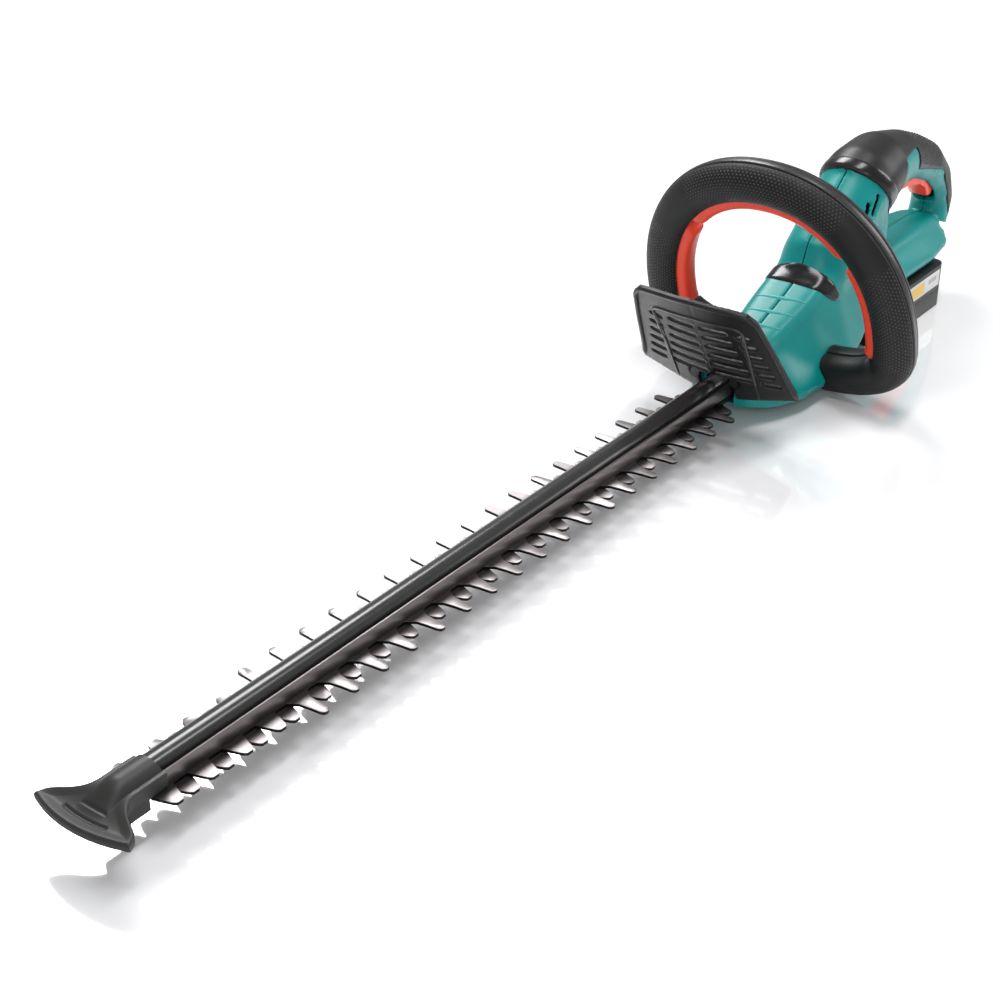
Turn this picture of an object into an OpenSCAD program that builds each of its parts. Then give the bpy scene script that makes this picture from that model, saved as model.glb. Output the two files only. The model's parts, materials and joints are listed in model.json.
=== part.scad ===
// Cordless hedge trimmer with a loop front handle and a D-shaped rear handle.
// Each module is drawn with x = 0 at the foremost long tooth, +X to the tip,
// and z = 0 on the top face of the upper blade. place() moves it onto the ground plane.

/* [Blades] */
// Distance between neighbouring long teeth
tooth_pitch = 25; // [24.8:0.1:25.2]
// Distance from the blade centre line to the tip of a long tooth
long_reach = 32.7; // [30:0.1:34]
// Distance from the centre line to the tip of a saw tooth near the nose
nose_reach = 24; // [22:0.5:25]
// Distance from the centre line to the tip of a moving tooth
short_reach = 22.5; // [21:0.5:24]
// Thickness of each blade
blade_t = 2; // [1.8:0.1:2]
// Throw of the crank, which is half of the blade's stroke
crank_throw = 10; // [8:0.5:10]

/* [Guide bar] */
// Half of the channel's width
bar_half = 10; // [9.8:0.1:10.2]
// Height of the channel's side walls above the upper blade
bar_wall_h = 9; // [8:0.5:9]
// Radius of the round black cover strip
cover_r = 9.8; // [9.6:0.1:10]

/* [Loop handle] */
// Half of the width between the tube centres
loop_half_w = 95.2; // [90:0.5:98]
// Tube centre above the reference point, along the loop's own plane
loop_up = 111.3; // [106:0.5:114]
// Radius of the tube
loop_r = 16; // [15.5:0.5:16]
// Lean of the loop's plane, top towards the blades
loop_lean = 16.3; // [14:0.1:18]
// How far a loop lever stands out of the tube
lever_out = 5.5; // [4:0.5:6]

/* [Hand guard] */
// Lean of the guard, top towards the blades
guard_lean = 30; // [29:0.5:31]
// Sweep of each half of the guard, outer edges towards the housing
guard_sweep = 8; // [6:0.5:9]
// Thickness of the guard
guard_t = 3.5; // [3:0.5:4]

/* [Housing] */
// Wall thickness of the clamshells
wall = 2.6; // [2:0.1:2.8]
// Thickness of the soft grip cover
grip_t = 2; // [1.6:0.1:2]

/* [Gears] */
// Gear module
gear_m = 1; // [1:0.1:1]
// Teeth on the crank gear
crank_teeth = 42; // [42:1:42]
// Teeth on the small and the large idler gear
idler_small = 12; // [12:1:12]
idler_large = 40; // [40:1:40]
// Teeth on the motor pinion
pinion_teeth = 10; // [10:1:10]

/* [Battery] */
// Length of the battery pack
pack_l = 117; // [116:1:118]
// Width of the battery pack
pack_w = 73; // [70:1:75]
// Diameter of a cell
cell_d = 18.2; // [18:0.1:18.4]

/* [Hidden] */

teal = [0, 0.55, 0.56];
soft_black = [0.12, 0.12, 0.13];
hard_black = [0.18, 0.18, 0.19];
orange = [1, 0.29, 0.15];
steel = [0.75, 0.74, 0.74];
gap = 0.02;

// Outer limits of the whole object, and the height of the blade above the ground
tip_x = 150.5;
rear_x = -816.2;
blade_z = 24;
origin_x = -(tip_x + rear_x) / 2;

// Gear train axes, from the crank back to the motor
crank_x = -554;
idler_x = crank_x - gear_m * (crank_teeth + idler_small) / 2;
motor_x = idler_x - gear_m * (idler_large + pinion_teeth) / 2;
level_b = 9.2;
level_a = 16.4;
gear_h = 5.8;
cover_z = 22.6;
cover_t = 3;

// Blade stack
blade_gap = 0.1;
lower_top = -blade_t - blade_gap;
lower_bottom = lower_top - blade_t;
bolt_xs = [-475, -500, -360, -255, -155, -55, 40];
bolt_r = 2.9;
slot_r = 3.3;

// Housing sections: x, low z, high z, half width low, half width high, corner radius
body_sections = [
  [-460, -9, 20, 24, 17, 7], [-478, -14, 25, 36, 20, 8], [-505, -17, 31, 45, 22, 9],
  [-545, -18, 44, 47, 26, 10], [-580, -17, 58, 44, 26, 10], [-612, -12, 60, 38, 26, 10],
  [-639.5, 6, 60, 32, 26, 10]
];
// Battery foot sections, in the same form
foot_sections = [
  [-636, 15, 42, 32, 26, 7], [-660, 13.5, 46, 34, 25, 7],
  [-740, 13.5, 45, 34, 22, 7], [-772, 15, 42, 30, 18, 7], [-786, 20, 38, 20, 14, 6]
];
// Round sections along a path: x, z, half width, half height, rise of the path
neck_path = [[-577, 26.7, 28.5, 28.5, 40], [-589, 36.7, 28.5, 28.5, 40],
  [-597, 54, 28.5, 28.5, 40], [-654, 98.6, 28, 28, 40]];
head_path = [
  [-649, 95.5, 29, 29, 40], [-651.5, 97.6, 31, 31, 40], [-663, 103, 30, 30, 26], [-684, 107, 27.5, 27, 5],
  [-713, 105, 22.5, 22, -14], [-742, 98, 19, 19, -20], [-769, 86.5, 18, 18, -30],
  [-789, 69, 17.5, 17.5, -56], [-799, 48, 17, 17, -84], [-793, 30, 17, 15, -112]
];
leg_path = [[-655, 90.5, 26, 23.5, -90], [-656, 55, 26, 23, -90], [-658, 28, 30, 25, -90]];

// Side outline of the soft cover: lip plane, saddle over the leg, grip, rear leg strip
cover_outline = [
  [-611, 141.5], [-670.5, 71], [-677, 74], [-684, 117], [-714, 117], [-720, 97],
  [-776, 81], [-790, 58], [-803, 24], [-830, 24], [-830, 142]
];

// Screw wells of the clamshells, in x and z
shell_screws = [[-480, 17.5], [-530, -12.5], [-600, -8], [-634, 20], [-700, 34.5],
  [-765, 33.5], [-799, 46], [-668, 96]];
well_depth = 11.5;
screw_r = 2;

// Loop reference point and superellipse exponents
loop_x = -540;
loop_z = 35.3;
loop_down = 45.1;
loop_wall = 2.5;
upper_power = 2.14;
lower_power = 3;
arm_angle = 74.2;
lever_slot_half = 8.6;
// Where the side levers end, as an angle below the loop's middle
lever_low = 23;
// Angle of the gap between the top lever and each side lever
lever_split = 39; // [36:0.5:56]
// Half of that gap
lever_split_half = 2.5; // [2:0.5:3]

// Trigger
trigger_pivot = [-696, 85];
trigger_half = 8.6;
pin_r = 2;

// Battery
pack_rear = -757;
pack_low = -24;
pack_top = 12;
pack_split = -8;
tower_top = 22.3;

$fn = 48;

// ---------- placing and general shapes ----------

// Moves a module from the blade frame to the ground under the object's middle
module place() {
  translate([origin_x, 0, blade_z]) children();
}

// Ring of points round a housing section, inset by t and moved along x by dx
function section_ring(s, t, dx) = let (r = max(s[5] - t, 0.8), steps = 6) [
  for (c = [[1, s[3], s[1] + s[5], -90], [1, s[4], s[2] - s[5], 0],
            [-1, s[4], s[2] - s[5], 90], [-1, s[3], s[1] + s[5], 180]], k = [0 : steps])
    let (a = c[3] + 90 * k / steps)
      [s[0] + dx, c[0] * (c[1] - s[5]) + r * cos(a), c[2] + r * sin(a)]
];

// Ring of points of an oval across a path, inset by t and drawn back along the path by d
function oval_ring(p, t, d) = let (sides = 32) [
  for (k = [0 : sides - 1]) let (a = 360 * k / sides, up = (p[3] - t) * sin(a))
    [p[0] + up * sin(p[4]) + d * cos(p[4]), (p[2] - t) * cos(a),
     p[1] + up * cos(p[4]) - d * sin(p[4])]
];

// Closed skin over rings that all have the same number of points
module loft(rings) {
  n = len(rings[0]);
  last = len(rings) - 1;
  points = [for (ring = rings) each ring];
  walls = [for (i = [0 : last - 1], k = [0 : n - 1]) let (m = (k + 1) % n)
    each [[i * n + k, i * n + m, (i + 1) * n + k], [i * n + m, (i + 1) * n + m, (i + 1) * n + k]]];
  first_cap = [for (k = [n - 1 : -1 : 0]) k];
  last_cap = [for (k = [0 : n - 1]) last * n + k];
  polyhedron(points, concat([first_cap], walls, [last_cap]), convexity = 6);
}

// Loft through housing sections, the two ends moved inwards by the inset
module section_loft(sections, t) {
  last = len(sections) - 1;
  loft([for (i = [0 : last]) section_ring(sections[i], t, i == 0 ? -t : i == last ? t : 0)]);
}

// Loft through ovals, with the last one drawn back by d
module path_loft(path, t, d = 0) {
  last = len(path) - 1;
  loft([for (i = [0 : last]) oval_ring(path[i], t, i == last ? d : 0)]);
}

// Outside of the housing, every surface inset by t
module body_solid(t) {
  section_loft(body_sections, t);
  section_loft(foot_sections, t);
  path_loft(neck_path, t);
  path_loft(head_path, t, t);
  path_loft(leg_path, t);
}

// Hollow inside of the housing
module body_cavity() {
  section_loft(body_sections, wall);
  section_loft(foot_sections, wall);
  path_loft(neck_path, wall);
  path_loft(head_path, grip_t + wall, grip_t + wall);
  path_loft(leg_path, grip_t + wall);
}

// Space behind the soft cover's edge
module cover_zone() {
  translate([0, 50, 0]) rotate([90, 0, 0]) linear_extrude(100) polygon(cover_outline);
}

// Involute spur gear outline. at = angle of one tooth. backlash = thinning of each flank
backlash = 0.12;
function involute(a) = tan(a) - a * PI / 180;
function flank_angle(r, rp, rb, n, pa) =
  90 / n + (involute(pa) - backlash / rp - (r > rb ? involute(acos(rb / r)) : 0)) * 180 / PI;
function gear_points(n, m, at) = let (
    rp = n * m / 2, pa = 20, rb = rp * cos(pa), root = rp - 1.25 * m, top = rp + 0.85 * m,
    low = max(rb, root + 0.2 * m),
    rs = [root, low, (low + rp) / 2, rp, (rp + top) / 2, top]
  ) [
    for (i = [0 : n - 1]) let (c = at + i * 360 / n) each concat(
      [for (k = [0 : 5]) let (a = c - flank_angle(rs[k], rp, rb, n, pa)) rs[k] * [cos(a), sin(a)]],
      [for (k = [5 : -1 : 0]) let (a = c + flank_angle(rs[k], rp, rb, n, pa)) rs[k] * [cos(a), sin(a)]]
    )
  ];
module spur_gear(n, at, h) {
  linear_extrude(h) polygon(gear_points(n, gear_m, at));
}

// Coil spring standing on z = 0
function coil_point(r, h, turns, a) = [r * cos(a), r * sin(a), h * a / (360 * turns)];
module coil_spring(r, wire, h, turns) {
  steps = turns * 10;
  sides = 6;
  points = [for (i = [0 : steps]) let (a = i * 36, c = coil_point(r, h - 2 * wire, turns, a))
    for (k = [0 : sides - 1]) let (b = k * 60)
      c + [wire * cos(b) * cos(a), wire * cos(b) * sin(a), wire * sin(b) + wire]];
  walls = [for (i = [0 : steps - 1], k = [0 : sides - 1]) let (n = (k + 1) % sides)
    each [[i * sides + k, (i + 1) * sides + k, i * sides + n],
      [i * sides + n, (i + 1) * sides + k, (i + 1) * sides + n]]];
  first_cap = [for (k = [0 : sides - 1]) k];
  last_cap = [for (k = [sides - 1 : -1 : 0]) steps * sides + k];
  polyhedron(points, concat([first_cap], walls, [last_cap]), convexity = 6);
}

// Button-head screw along +z: head on z = 0..head_h, shank below
module screw(r, head_r, head_h, length) {
  cylinder(r = head_r, h = head_h);
  translate([0, 0, -length]) cylinder(r = r, h = length);
}

// ---------- loop handle path ----------

function signed_pow(v, p) = sign(v) * pow(abs(v), p);
function loop_uw(a) = let (n = a < 0 || a > 180 ? lower_power : upper_power,
  h = a < 0 || a > 180 ? loop_down : loop_up)
  [loop_half_w * signed_pow(cos(a), 2 / n), h * signed_pow(sin(a), 2 / n)];
function loop_normal(a) = let (d = loop_uw(a + 0.5) - loop_uw(a - 0.5), l = norm(d)) [d[1] / l, -d[0] / l];
// Point at angle a, moved outwards in the loop's plane and forwards across it
function loop_point(a, out, across) = let (p = loop_uw(a) + out * loop_normal(a))
  [loop_x + p[1] * sin(loop_lean) + across * cos(loop_lean), p[0],
   loop_z + p[1] * cos(loop_lean) - across * sin(loop_lean)];

// Skin over rings of [out, across] points along the loop. caps lists the end-cap quads
module loop_sweep(rings, from, to, caps) {
  n = len(rings[0]);
  steps = len(rings) - 1;
  points = [for (i = [0 : steps]) let (a = from + (to - from) * i / steps)
    for (q = rings[i]) loop_point(a, q[0], q[1])];
  walls = [for (i = [0 : steps - 1], k = [0 : n - 1]) let (m = (k + 1) % n)
    each [[i * n + k, i * n + m, (i + 1) * n + k], [i * n + m, (i + 1) * n + m, (i + 1) * n + k]]];
  start = [for (c = caps) [c[3], c[2], c[1], c[0]]];
  end = [for (c = caps) [for (v = c) steps * n + v]];
  polyhedron(points, concat(walls, start, end), convexity = 8);
}

// Section of half of the hollow tube, with half of the levers' slot where it is open
tube_arcs = 8;
tube_steps = 60;
tube_gap = 0.2;
function tube_ring(open, side) = let (
    outer_end = open ? 180 - asin(lever_slot_half / loop_r) : 180 - tube_gap,
    bore = loop_r - loop_wall,
    inner_end = open ? 180 - asin(lever_slot_half / bore) : 180 - tube_gap,
    outer = [for (k = [0 : tube_arcs]) let (a = tube_gap + (outer_end - tube_gap) * k / tube_arcs)
      [loop_r * cos(a), side * loop_r * sin(a)]],
    inner = [for (k = [tube_arcs : -1 : 0]) let (a = tube_gap + (inner_end - tube_gap) * k / tube_arcs)
      [bore * cos(a), side * max(bore * sin(a), 0.05)]],
    ring = concat(outer, inner), n = len(ring)
  ) side > 0 ? ring : [for (k = [n - 1 : -1 : 0]) ring[k]];

// Half of the hollow tube: side = 1 front, -1 rear
module loop_half(side) {
  rings = [for (i = [0 : tube_steps]) let (a = -arm_angle + (180 + 2 * arm_angle) * i / tube_steps)
    tube_ring(a > -lever_low - 3 && a < 180 + lever_low + 3, side)];
  n = len(rings[0]);
  caps = [for (k = [0 : tube_arcs - 1]) [k, k + 1, n - 2 - k, n - 1 - k]];
  loop_sweep(rings, -arm_angle, 180 + arm_angle, caps);
}

// Curved lever: a rounded bar that stands out of the slot along part of the loop
module loop_lever(from, to) {
  half = lever_slot_half - 0.5;
  inner = -(loop_r + lever_out);
  back = -(loop_r - 7);
  ring = [[back, -half], [back, half], [inner + 2.5, half], [inner, half - 2.5],
    [inner, 2.5 - half], [inner + 2.5, -half]];
  loop_sweep([for (i = [0 : 16]) ring], from, to, [[0, 1, 2, 5], [2, 3, 4, 5]]);
}

// Places children at a point of the loop, with +X outwards and +Z across the loop's plane
module on_loop(a, out) {
  n = loop_normal(a);
  translate(loop_point(a, out, 0)) rotate([0, -90 + loop_lean, 0])
    rotate([0, 0, 180]) rotate([0, 0, atan2(-n[0], -n[1])]) children();
}

// ---------- housing ----------

// Block with rounded ends along x
module soft_block(low, high, r) {
  hull() for (x = [low[0] + r, high[0] - r])
    translate([x, low[1], low[2] + r]) rotate([-90, 0, 0]) {
      cylinder(r = r, h = high[1] - low[1], $fn = 24);
      translate([0, -(high[2] - low[2] - 2 * r), 0]) cylinder(r = r, h = high[1] - low[1], $fn = 24);
    }
}

// Everything cut out of the clamshells
module shell_cuts() {
  // blade and bar entry at the front
  soft_block([-481, -11.5, -10.7], [-440, 11.5, 15.2], 2);
  // sockets for the loop's arms
  arm = loop_point(-arm_angle, 0, 0);
  for (side = [-1, 1])
    translate([arm[0], side * 51, arm[2]]) rotate([90, 0, 0])
      cylinder(r = loop_r + 0.6, h = 25, center = true, $fn = 32);
  // trigger slot in the underside of the grip
  soft_block([-784, -9.4, 50], [-688, 9.4, 92.2], 3);
  // battery channel, open to the rear, and its throat
  soft_block([-830, -25.5, 16.4], [-672, 25.5, 24.2], 1);
  soft_block([-830, -21, 0], [-671.8, 21, 17.3], 1);
  // seat of the terminal block
  soft_block([-672.3, -21.2, 0], [-651.7, 21.2, 36.6], 1);
  // cooling slots
  for (i = [0 : 2], side = [-1, 1])
    translate([-612 - 11 * i, side * 25, 86 + 4 * i]) rotate([0, -38, 0])
      soft_block([-2, -15, -9], [2, 15, 9], 1.9);
}

// Screw well: a tube from the outside to the middle
module screw_wells(r, from, to) {
  for (s = shell_screws)
    translate([s[0], to, s[1]]) rotate([90, 0, 0]) cylinder(r = r, h = to - from, $fn = 24);
}

// Bosses for the guard's two screws
module guard_bosses(r, length) {
  for (side = [-1, 1])
    translate([-459.5, side * 16, 14]) rotate([0, -90, 0]) cylinder(r = r, h = length, $fn = 24);
}

// Closed clamshell pair before it is split
module shell_pair() {
  difference() {
    union() {
      difference() {
        union() {
          difference() { body_solid(0); cover_zone(); }
          body_solid(grip_t + 0.05);
        }
        body_cavity();
      }
      intersection() {
        body_solid(grip_t + 0.3);
        union() {
          screw_wells(5.5, -60, 60);
          guard_bosses(4.4, 20);
        }
      }
    }
    shell_cuts();
    guard_bosses(2.3, 22);
    screw_wells(2.3, -well_depth - 1, well_depth + 1);
    screw_wells(4, -70, -well_depth);
    gear_room();
  }
}

// Room for the gearbox and the motor inside the shells
module gear_room() {
  translate([0, 0, -5]) linear_extrude(33) gearbox_outline(1);
  translate([motor_x, 0, 20]) cylinder(r = 19, h = 52);
}

module left_shell() {
  place() color(teal) intersection() {
    shell_pair();
    translate([-900, gap, -60]) cube([600, 100, 260]);
  }
}

module right_shell() {
  place() color(teal) intersection() {
    shell_pair();
    translate([-900, -100 - gap, -60]) cube([600, 100, 260]);
  }
}

// Soft overmould on the head, the grip and the back of the rear leg
module grip_cover() {
  place() color(soft_black) difference() {
    intersection() {
      difference() { body_solid(0); body_solid(grip_t); }
      cover_zone();
    }
    shell_cuts();
  }
}

// Black band where the neck leaves the housing, cut off just above the housing's top
module collar_band() {
  place() color(hard_black) difference() {
    translate([-584, 0, 32.5]) rotate([0, 130, 0]) difference() {
      cylinder(r = 31.5, h = 9, center = true);
      cylinder(r = 28.8, h = 30, center = true);
    }
    translate([-545, -50, 44.6]) rotate([0, 21.8, 0]) translate([-120, 0, -60]) cube([160, 100, 60]);
  }
}

// Screws that pull the two clamshells together
module housing_screws() {
  place() color(steel) for (s = shell_screws)
    translate([s[0], -well_depth, s[1]]) rotate([90, 0, 0]) screw(screw_r, 3.6, 2.6, 2 * well_depth);
}

// ---------- hand guard ----------

guard_foot_x = -459;
// Outline of one half of the guard: across, up its own plane
guard_outline = [[-1, 101.5], [30, 99.5], [43, 97], [49, 90], [55, 60], [61, 25], [67, -2],
  [65, -8], [52, -12], [36, -13.5], [33, -11], [13.5, -11], [13.5, 19.5], [-1, 19.5]];

module guard_half_plate() {
  rotate([0, 0, guard_sweep]) difference() {
    rotate([90, 0, 90]) linear_extrude(guard_t) polygon(guard_outline);
    // long slots of the middle panel
    for (i = [0 : 5])
      translate([-1, 2, 22 + 10 * i]) cube([guard_t + 2, 31 - 2 * i, 3.2]);
    // short slots of the side panel, in two columns that follow the edge
    for (i = [0 : 5])
      translate([-1, 39 - 2 * i, 20 + 10 * i]) cube([guard_t + 2, 14 - 0.6 * i, 3.2]);
  }
}

module hand_guard() {
  place() color(hard_black) difference() {
    union() {
      translate([guard_foot_x, 0, 0]) rotate([0, guard_lean, 0]) {
        guard_half_plate();
        mirror([0, 1, 0]) guard_half_plate();
      }
      // bosses that stand off the housing's front wall
      for (side = [-1, 1])
        translate([-459.4, side * 16, 14]) rotate([0, 90, 0]) cylinder(r = 4.2, h = 9);
    }
    // wells for the two screws
    for (side = [-1, 1])
      translate([-453, side * 16, 14]) rotate([0, 90, 0]) cylinder(r = 4.3, h = 12);
    for (side = [-1, 1])
      translate([-470, side * 16, 14]) rotate([0, 90, 0]) cylinder(r = 2.2, h = 30);
    translate([-520, -100, -60]) cube([60.4, 200, 120]);
  }
}

module guard_screws() {
  place() color(steel) for (side = [-1, 1])
    translate([-453, side * 16, 14]) rotate([0, 90, 0]) screw(screw_r, 3.6, 2.6, 22);
}

// ---------- loop handle ----------

module loop_front_shell() {
  place() color(soft_black) loop_half(1);
}

module loop_rear_shell() {
  place() color(hard_black) loop_half(-1);
}

module lever_left() {
  place() color(orange) loop_lever(-lever_low, lever_split - lever_split_half);
}

module lever_top() {
  place() color(orange) loop_lever(lever_split + lever_split_half, 180 - lever_split - lever_split_half);
}

module lever_right() {
  place() color(orange) loop_lever(180 - lever_split + lever_split_half, 180 + lever_low);
}

// Return spring of one lever, between its back and the tube's outer wall
module lever_spring(a) {
  on_loop(a, 7.2 - loop_r) rotate([0, 90, 0]) coil_spring(3.2, 0.5, 22, 5);
}

module lever_left_spring() {
  place() color(steel) lever_spring(0);
}

module lever_top_spring() {
  place() color(steel) lever_spring(90);
}

module lever_right_spring() {
  place() color(steel) lever_spring(180);
}

// One small switch behind each lever
module loop_switches() {
  place() color(hard_black) for (a = [22, 106, 158])
    on_loop(a, 0) translate([-3.5, -6.4, -3]) cube([6.5, 12.8, 6]);
}

// Screws that hold the loop's halves and anchor its arms
module loop_screws() {
  place() color(steel) for (a = [-60, 240])
    translate(loop_point(a, 0, -14.2)) rotate([0, loop_lean - 90, 0]) screw(screw_r, 3.4, 2, 28);
}

// ---------- cutting gear ----------

// Round-ended tooth from the spine to the reach, pointing along +Y
function long_tooth(x, reach) = let (r = 3, c = reach - r) concat(
  [[x - 8.5, bar_half + 0.5], [x - 4.6, bar_half + 6], [x - 3.5, bar_half + 13]],
  [for (a = [180 : -30 : 0]) [x + r * cos(a), c + r * sin(a)]],
  [[x + 3.5, bar_half + 13], [x + 4.6, bar_half + 6], [x + 8.5, bar_half + 0.5]]);
// Flat-ended tooth
function flat_tooth(x, reach) = [[x - 7.5, bar_half + 0.5], [x - 3.6, reach - 2], [x - 2, reach],
  [x + 2, reach], [x + 3.6, reach - 2], [x + 7.5, bar_half + 0.5]];
function side_of(points) = [for (p = points) [p[0], -p[1]]];
function backwards(points) = [for (i = [len(points) - 1 : -1 : 0]) points[i]];

upper_teeth = [for (i = [-17 : 4]) let (x = i * tooth_pitch)
  each (i > 0 ? flat_tooth(x, nose_reach) : long_tooth(x, long_reach))];
lower_teeth = [for (i = [-17 : 4]) each flat_tooth((i - 0.5) * tooth_pitch, short_reach)];
upper_outline = concat([[-515, bar_half + 0.5]], upper_teeth, [[106, bar_half]],
  [[106, -bar_half]], backwards(side_of(upper_teeth)), [[-515, -bar_half - 0.5]]);
yoke_half = 21;
lower_outline = concat(
  [[crank_x - 16, yoke_half - 4], [crank_x - 12, yoke_half], [crank_x + 12, yoke_half],
   [crank_x + 24, bar_half + 0.5]], lower_teeth, [[95.5, bar_half]],
  [[95.5, -bar_half]], backwards(side_of(lower_teeth)),
  [[crank_x + 24, -bar_half - 0.5], [crank_x + 12, -yoke_half], [crank_x - 12, -yoke_half],
   [crank_x - 16, 4 - yoke_half]]);

module upper_blade() {
  place() color(steel) translate([0, 0, -blade_t]) difference() {
    linear_extrude(blade_t) polygon(upper_outline);
    for (x = bolt_xs) translate([x, 0, -1]) cylinder(r = bolt_r + 0.1, h = 5);
  }
}

// Straight slot with round ends, along X
module x_slot(half_l, r, h) {
  translate([-half_l, -r, 0]) cube([2 * half_l, 2 * r, h]);
  for (side = [-1, 1]) translate([side * half_l, 0, 0]) cylinder(r = r, h = h);
}

module lower_blade() {
  place() color(steel) translate([0, 0, lower_bottom]) difference() {
    linear_extrude(blade_t) polygon(lower_outline);
    for (x = bolt_xs) translate([x, 0, -1]) x_slot(crank_throw + 0.6, slot_r, 5);
    // cross slot of the crank pin
    translate([crank_x, 0, -1]) rotate([0, 0, 90]) x_slot(crank_throw + 0.4, 4.3, 5);
  }
}

// Steel channel that stiffens the blades
module bar_channel() {
  place() color(steel) difference() {
    translate([120, 0, 0]) rotate([0, -90, 0]) linear_extrude(632)
      polygon([[0, -bar_half], [bar_wall_h, 0.5 - bar_half], [bar_wall_h, 2 - bar_half],
        [1.5, 2 - bar_half], [1.5, bar_half - 2], [bar_wall_h, bar_half - 2],
        [bar_wall_h, bar_half - 0.5], [0, bar_half]]);
    for (x = bolt_xs) translate([x, 0, -1]) cylinder(r = bolt_r + 0.1, h = 5);
    translate([114, 0, -1]) cylinder(r = 2.1, h = 5);
  }
}

// Rounded strip that closes the channel
module bar_cover() {
  place() color(hard_black) translate([-466, 0, 0]) rotate([90, 0, 90]) linear_extrude(564)
    intersection() {
      translate([0, 4.5]) circle(r = cover_r, $fn = 96);
      translate([-6.9, 6.3]) square([13.8, 10]);
    }
}

module blade_bolts() {
  place() color(steel) for (x = bolt_xs)
    translate([x, 0, 0]) {
      low = x < -470 ? -7.8 : lower_bottom - 0.1;
      translate([0, 0, low - 2.4]) cylinder(r = 5, h = 2.4);
      translate([0, 0, low]) cylinder(r = bolt_r, h = 5.5 - low);
    }
}

module blade_nuts() {
  place() color(steel) for (x = bolt_xs)
    translate([x, 0, x < -470 ? 4.6 : 1.5]) difference() {
      cylinder(r = 5, h = x < -470 ? 3.4 : 3.6, $fn = 6);
      translate([0, 0, -1]) cylinder(r = bolt_r + 0.02, h = 8);
    }
}

// Plate under the rear of the lower blade
module clamp_plate() {
  place() color(steel) difference() {
    translate([-511, -17, -7.8]) cube([43, 34, 3.3]);
    for (x = [-475, -500]) translate([x, 0, -9]) cylinder(r = bolt_r + 0.1, h = 6);
  }
}

// Nose guard: sleeve over the bar's end and a flat fan in front of the teeth
fan_low = 0.8;
fan_high = 5;
module tip_guard() {
  place() color(hard_black) difference() {
    union() {
      // fan with a curved front edge
      translate([0, 0, fan_low]) linear_extrude(fan_high - fan_low) intersection() {
        polygon([[110, 11.5], [121, 11.5], [136, 33.5], [160, 33.5], [160, -33.5], [136, -33.5],
          [121, -11.5], [110, -11.5]]);
        translate([62, 0]) circle(r = 88.5, $fn = 128);
      }
      // block in front of the blades
      translate([109, -11.5, -6.5]) cube([15, 23, 15.5]);
      // sleeve over the bar
      translate([98.5, -11.6, 0.3]) cube([14, 23.2, 9.2]);
      translate([98.5, 0, 0]) rotate([90, 0, 90]) linear_extrude(25.5) intersection() {
        translate([0, 4.5]) circle(r = cover_r + 0.6, $fn = 96);
        translate([-9, 7]) square([18, 10]);
      }
    }
    // seat of the channel
    translate([95, -bar_half - 0.05, 0]) cube([25.1, 2 * bar_half + 0.1, bar_wall_h + 0.05]);
    // screw from below
    translate([114, 0, -7]) cylinder(r = 2.05, h = 10);
    translate([114, 0, -7]) cylinder(r = 4.1, h = 3);
  }
}

module tip_screw() {
  place() color(steel) translate([114, 0, -4]) rotate([180, 0, 0]) screw(2, 4, 2.2, 8.5);
}

// ---------- gearbox ----------

// Places of the gearbox screws
box_screws = [[crank_x + 20, 20], [crank_x + 20, -20], [idler_x - 17, 20.5], [idler_x - 17, -20.5]];

// Outline round the three gear axes, grown by t
module gear_outline(t) {
  hull() {
    translate([crank_x, 0]) circle(r = 27 + t, $fn = 60);
    translate([idler_x, 0]) circle(r = 25 + t, $fn = 60);
    translate([motor_x, 0]) circle(r = 13 + t, $fn = 60);
  }
}

// The same outline with an ear round each screw
module gearbox_outline(t) {
  gear_outline(t);
  for (p = box_screws) translate(p) circle(r = 3.6 + t);
}

module gearbox_base() {
  place() color([0.6, 0.61, 0.62]) difference() {
    union() {
      translate([0, 0, 5.4]) linear_extrude(2.8) gearbox_outline(0);
      // tongue that is bolted into the channel
      translate([-530, -7.9, 5.4]) cube([12, 15.8, 2.8]);
      translate([-519, -7.9, 1.6]) cube([51, 15.8, 3]);
      translate([-519, -7.9, 1.6]) cube([4, 15.8, 6.6]);
    }
    for (x = [crank_x, idler_x]) translate([x, 0, 4]) cylinder(r = 6.02, h = 6);
    for (x = [-475, -500]) translate([x, 0, 0]) cylinder(r = bolt_r + 0.1, h = 8);
    for (p = box_screws) translate([p[0], p[1], 4]) cylinder(r = 1.55, h = 6);
  }
}

module gearbox_cover() {
  place() color([0.66, 0.67, 0.68]) difference() {
    union() {
      translate([0, 0, cover_z]) linear_extrude(cover_t) gearbox_outline(0);
      difference() {
        translate([0, 0, 8.2]) linear_extrude(cover_z - 8.2) gearbox_outline(0);
        translate([0, 0, 8]) linear_extrude(cover_z - 8) gear_outline(-2.4);
      }
      for (p = box_screws) translate([p[0], p[1], 8.2]) cylinder(r = 3.2, h = cover_z - 8.2);
    }
    for (x = [crank_x, idler_x]) translate([x, 0, cover_z - 1]) cylinder(r = 6.02, h = 6);
    translate([motor_x, 0, cover_z - 1]) cylinder(r = 7.5, h = 6);
    for (p = box_screws) translate([p[0], p[1], 0]) cylinder(r = 1.55, h = 40);
    for (side = [-1, 1]) translate([motor_x, side * 10.5, 0]) cylinder(r = 1.3, h = 40);
  }
}

module gearbox_screws() {
  place() color(steel) for (p = box_screws)
    translate([p[0], p[1], cover_z + cover_t]) screw(1.5, 2.8, 2, cover_z + cover_t - 5);
}

// Sintered bushes of the crank and idler shafts
module gear_bushes() {
  place() color([0.72, 0.55, 0.32]) for (x = [crank_x, idler_x], z = [5.4, cover_z])
    translate([x, 0, z]) difference() {
      cylinder(r = 6, h = 2.8);
      translate([0, 0, -1]) cylinder(r = 4.04, h = 6);
    }
}

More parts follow.
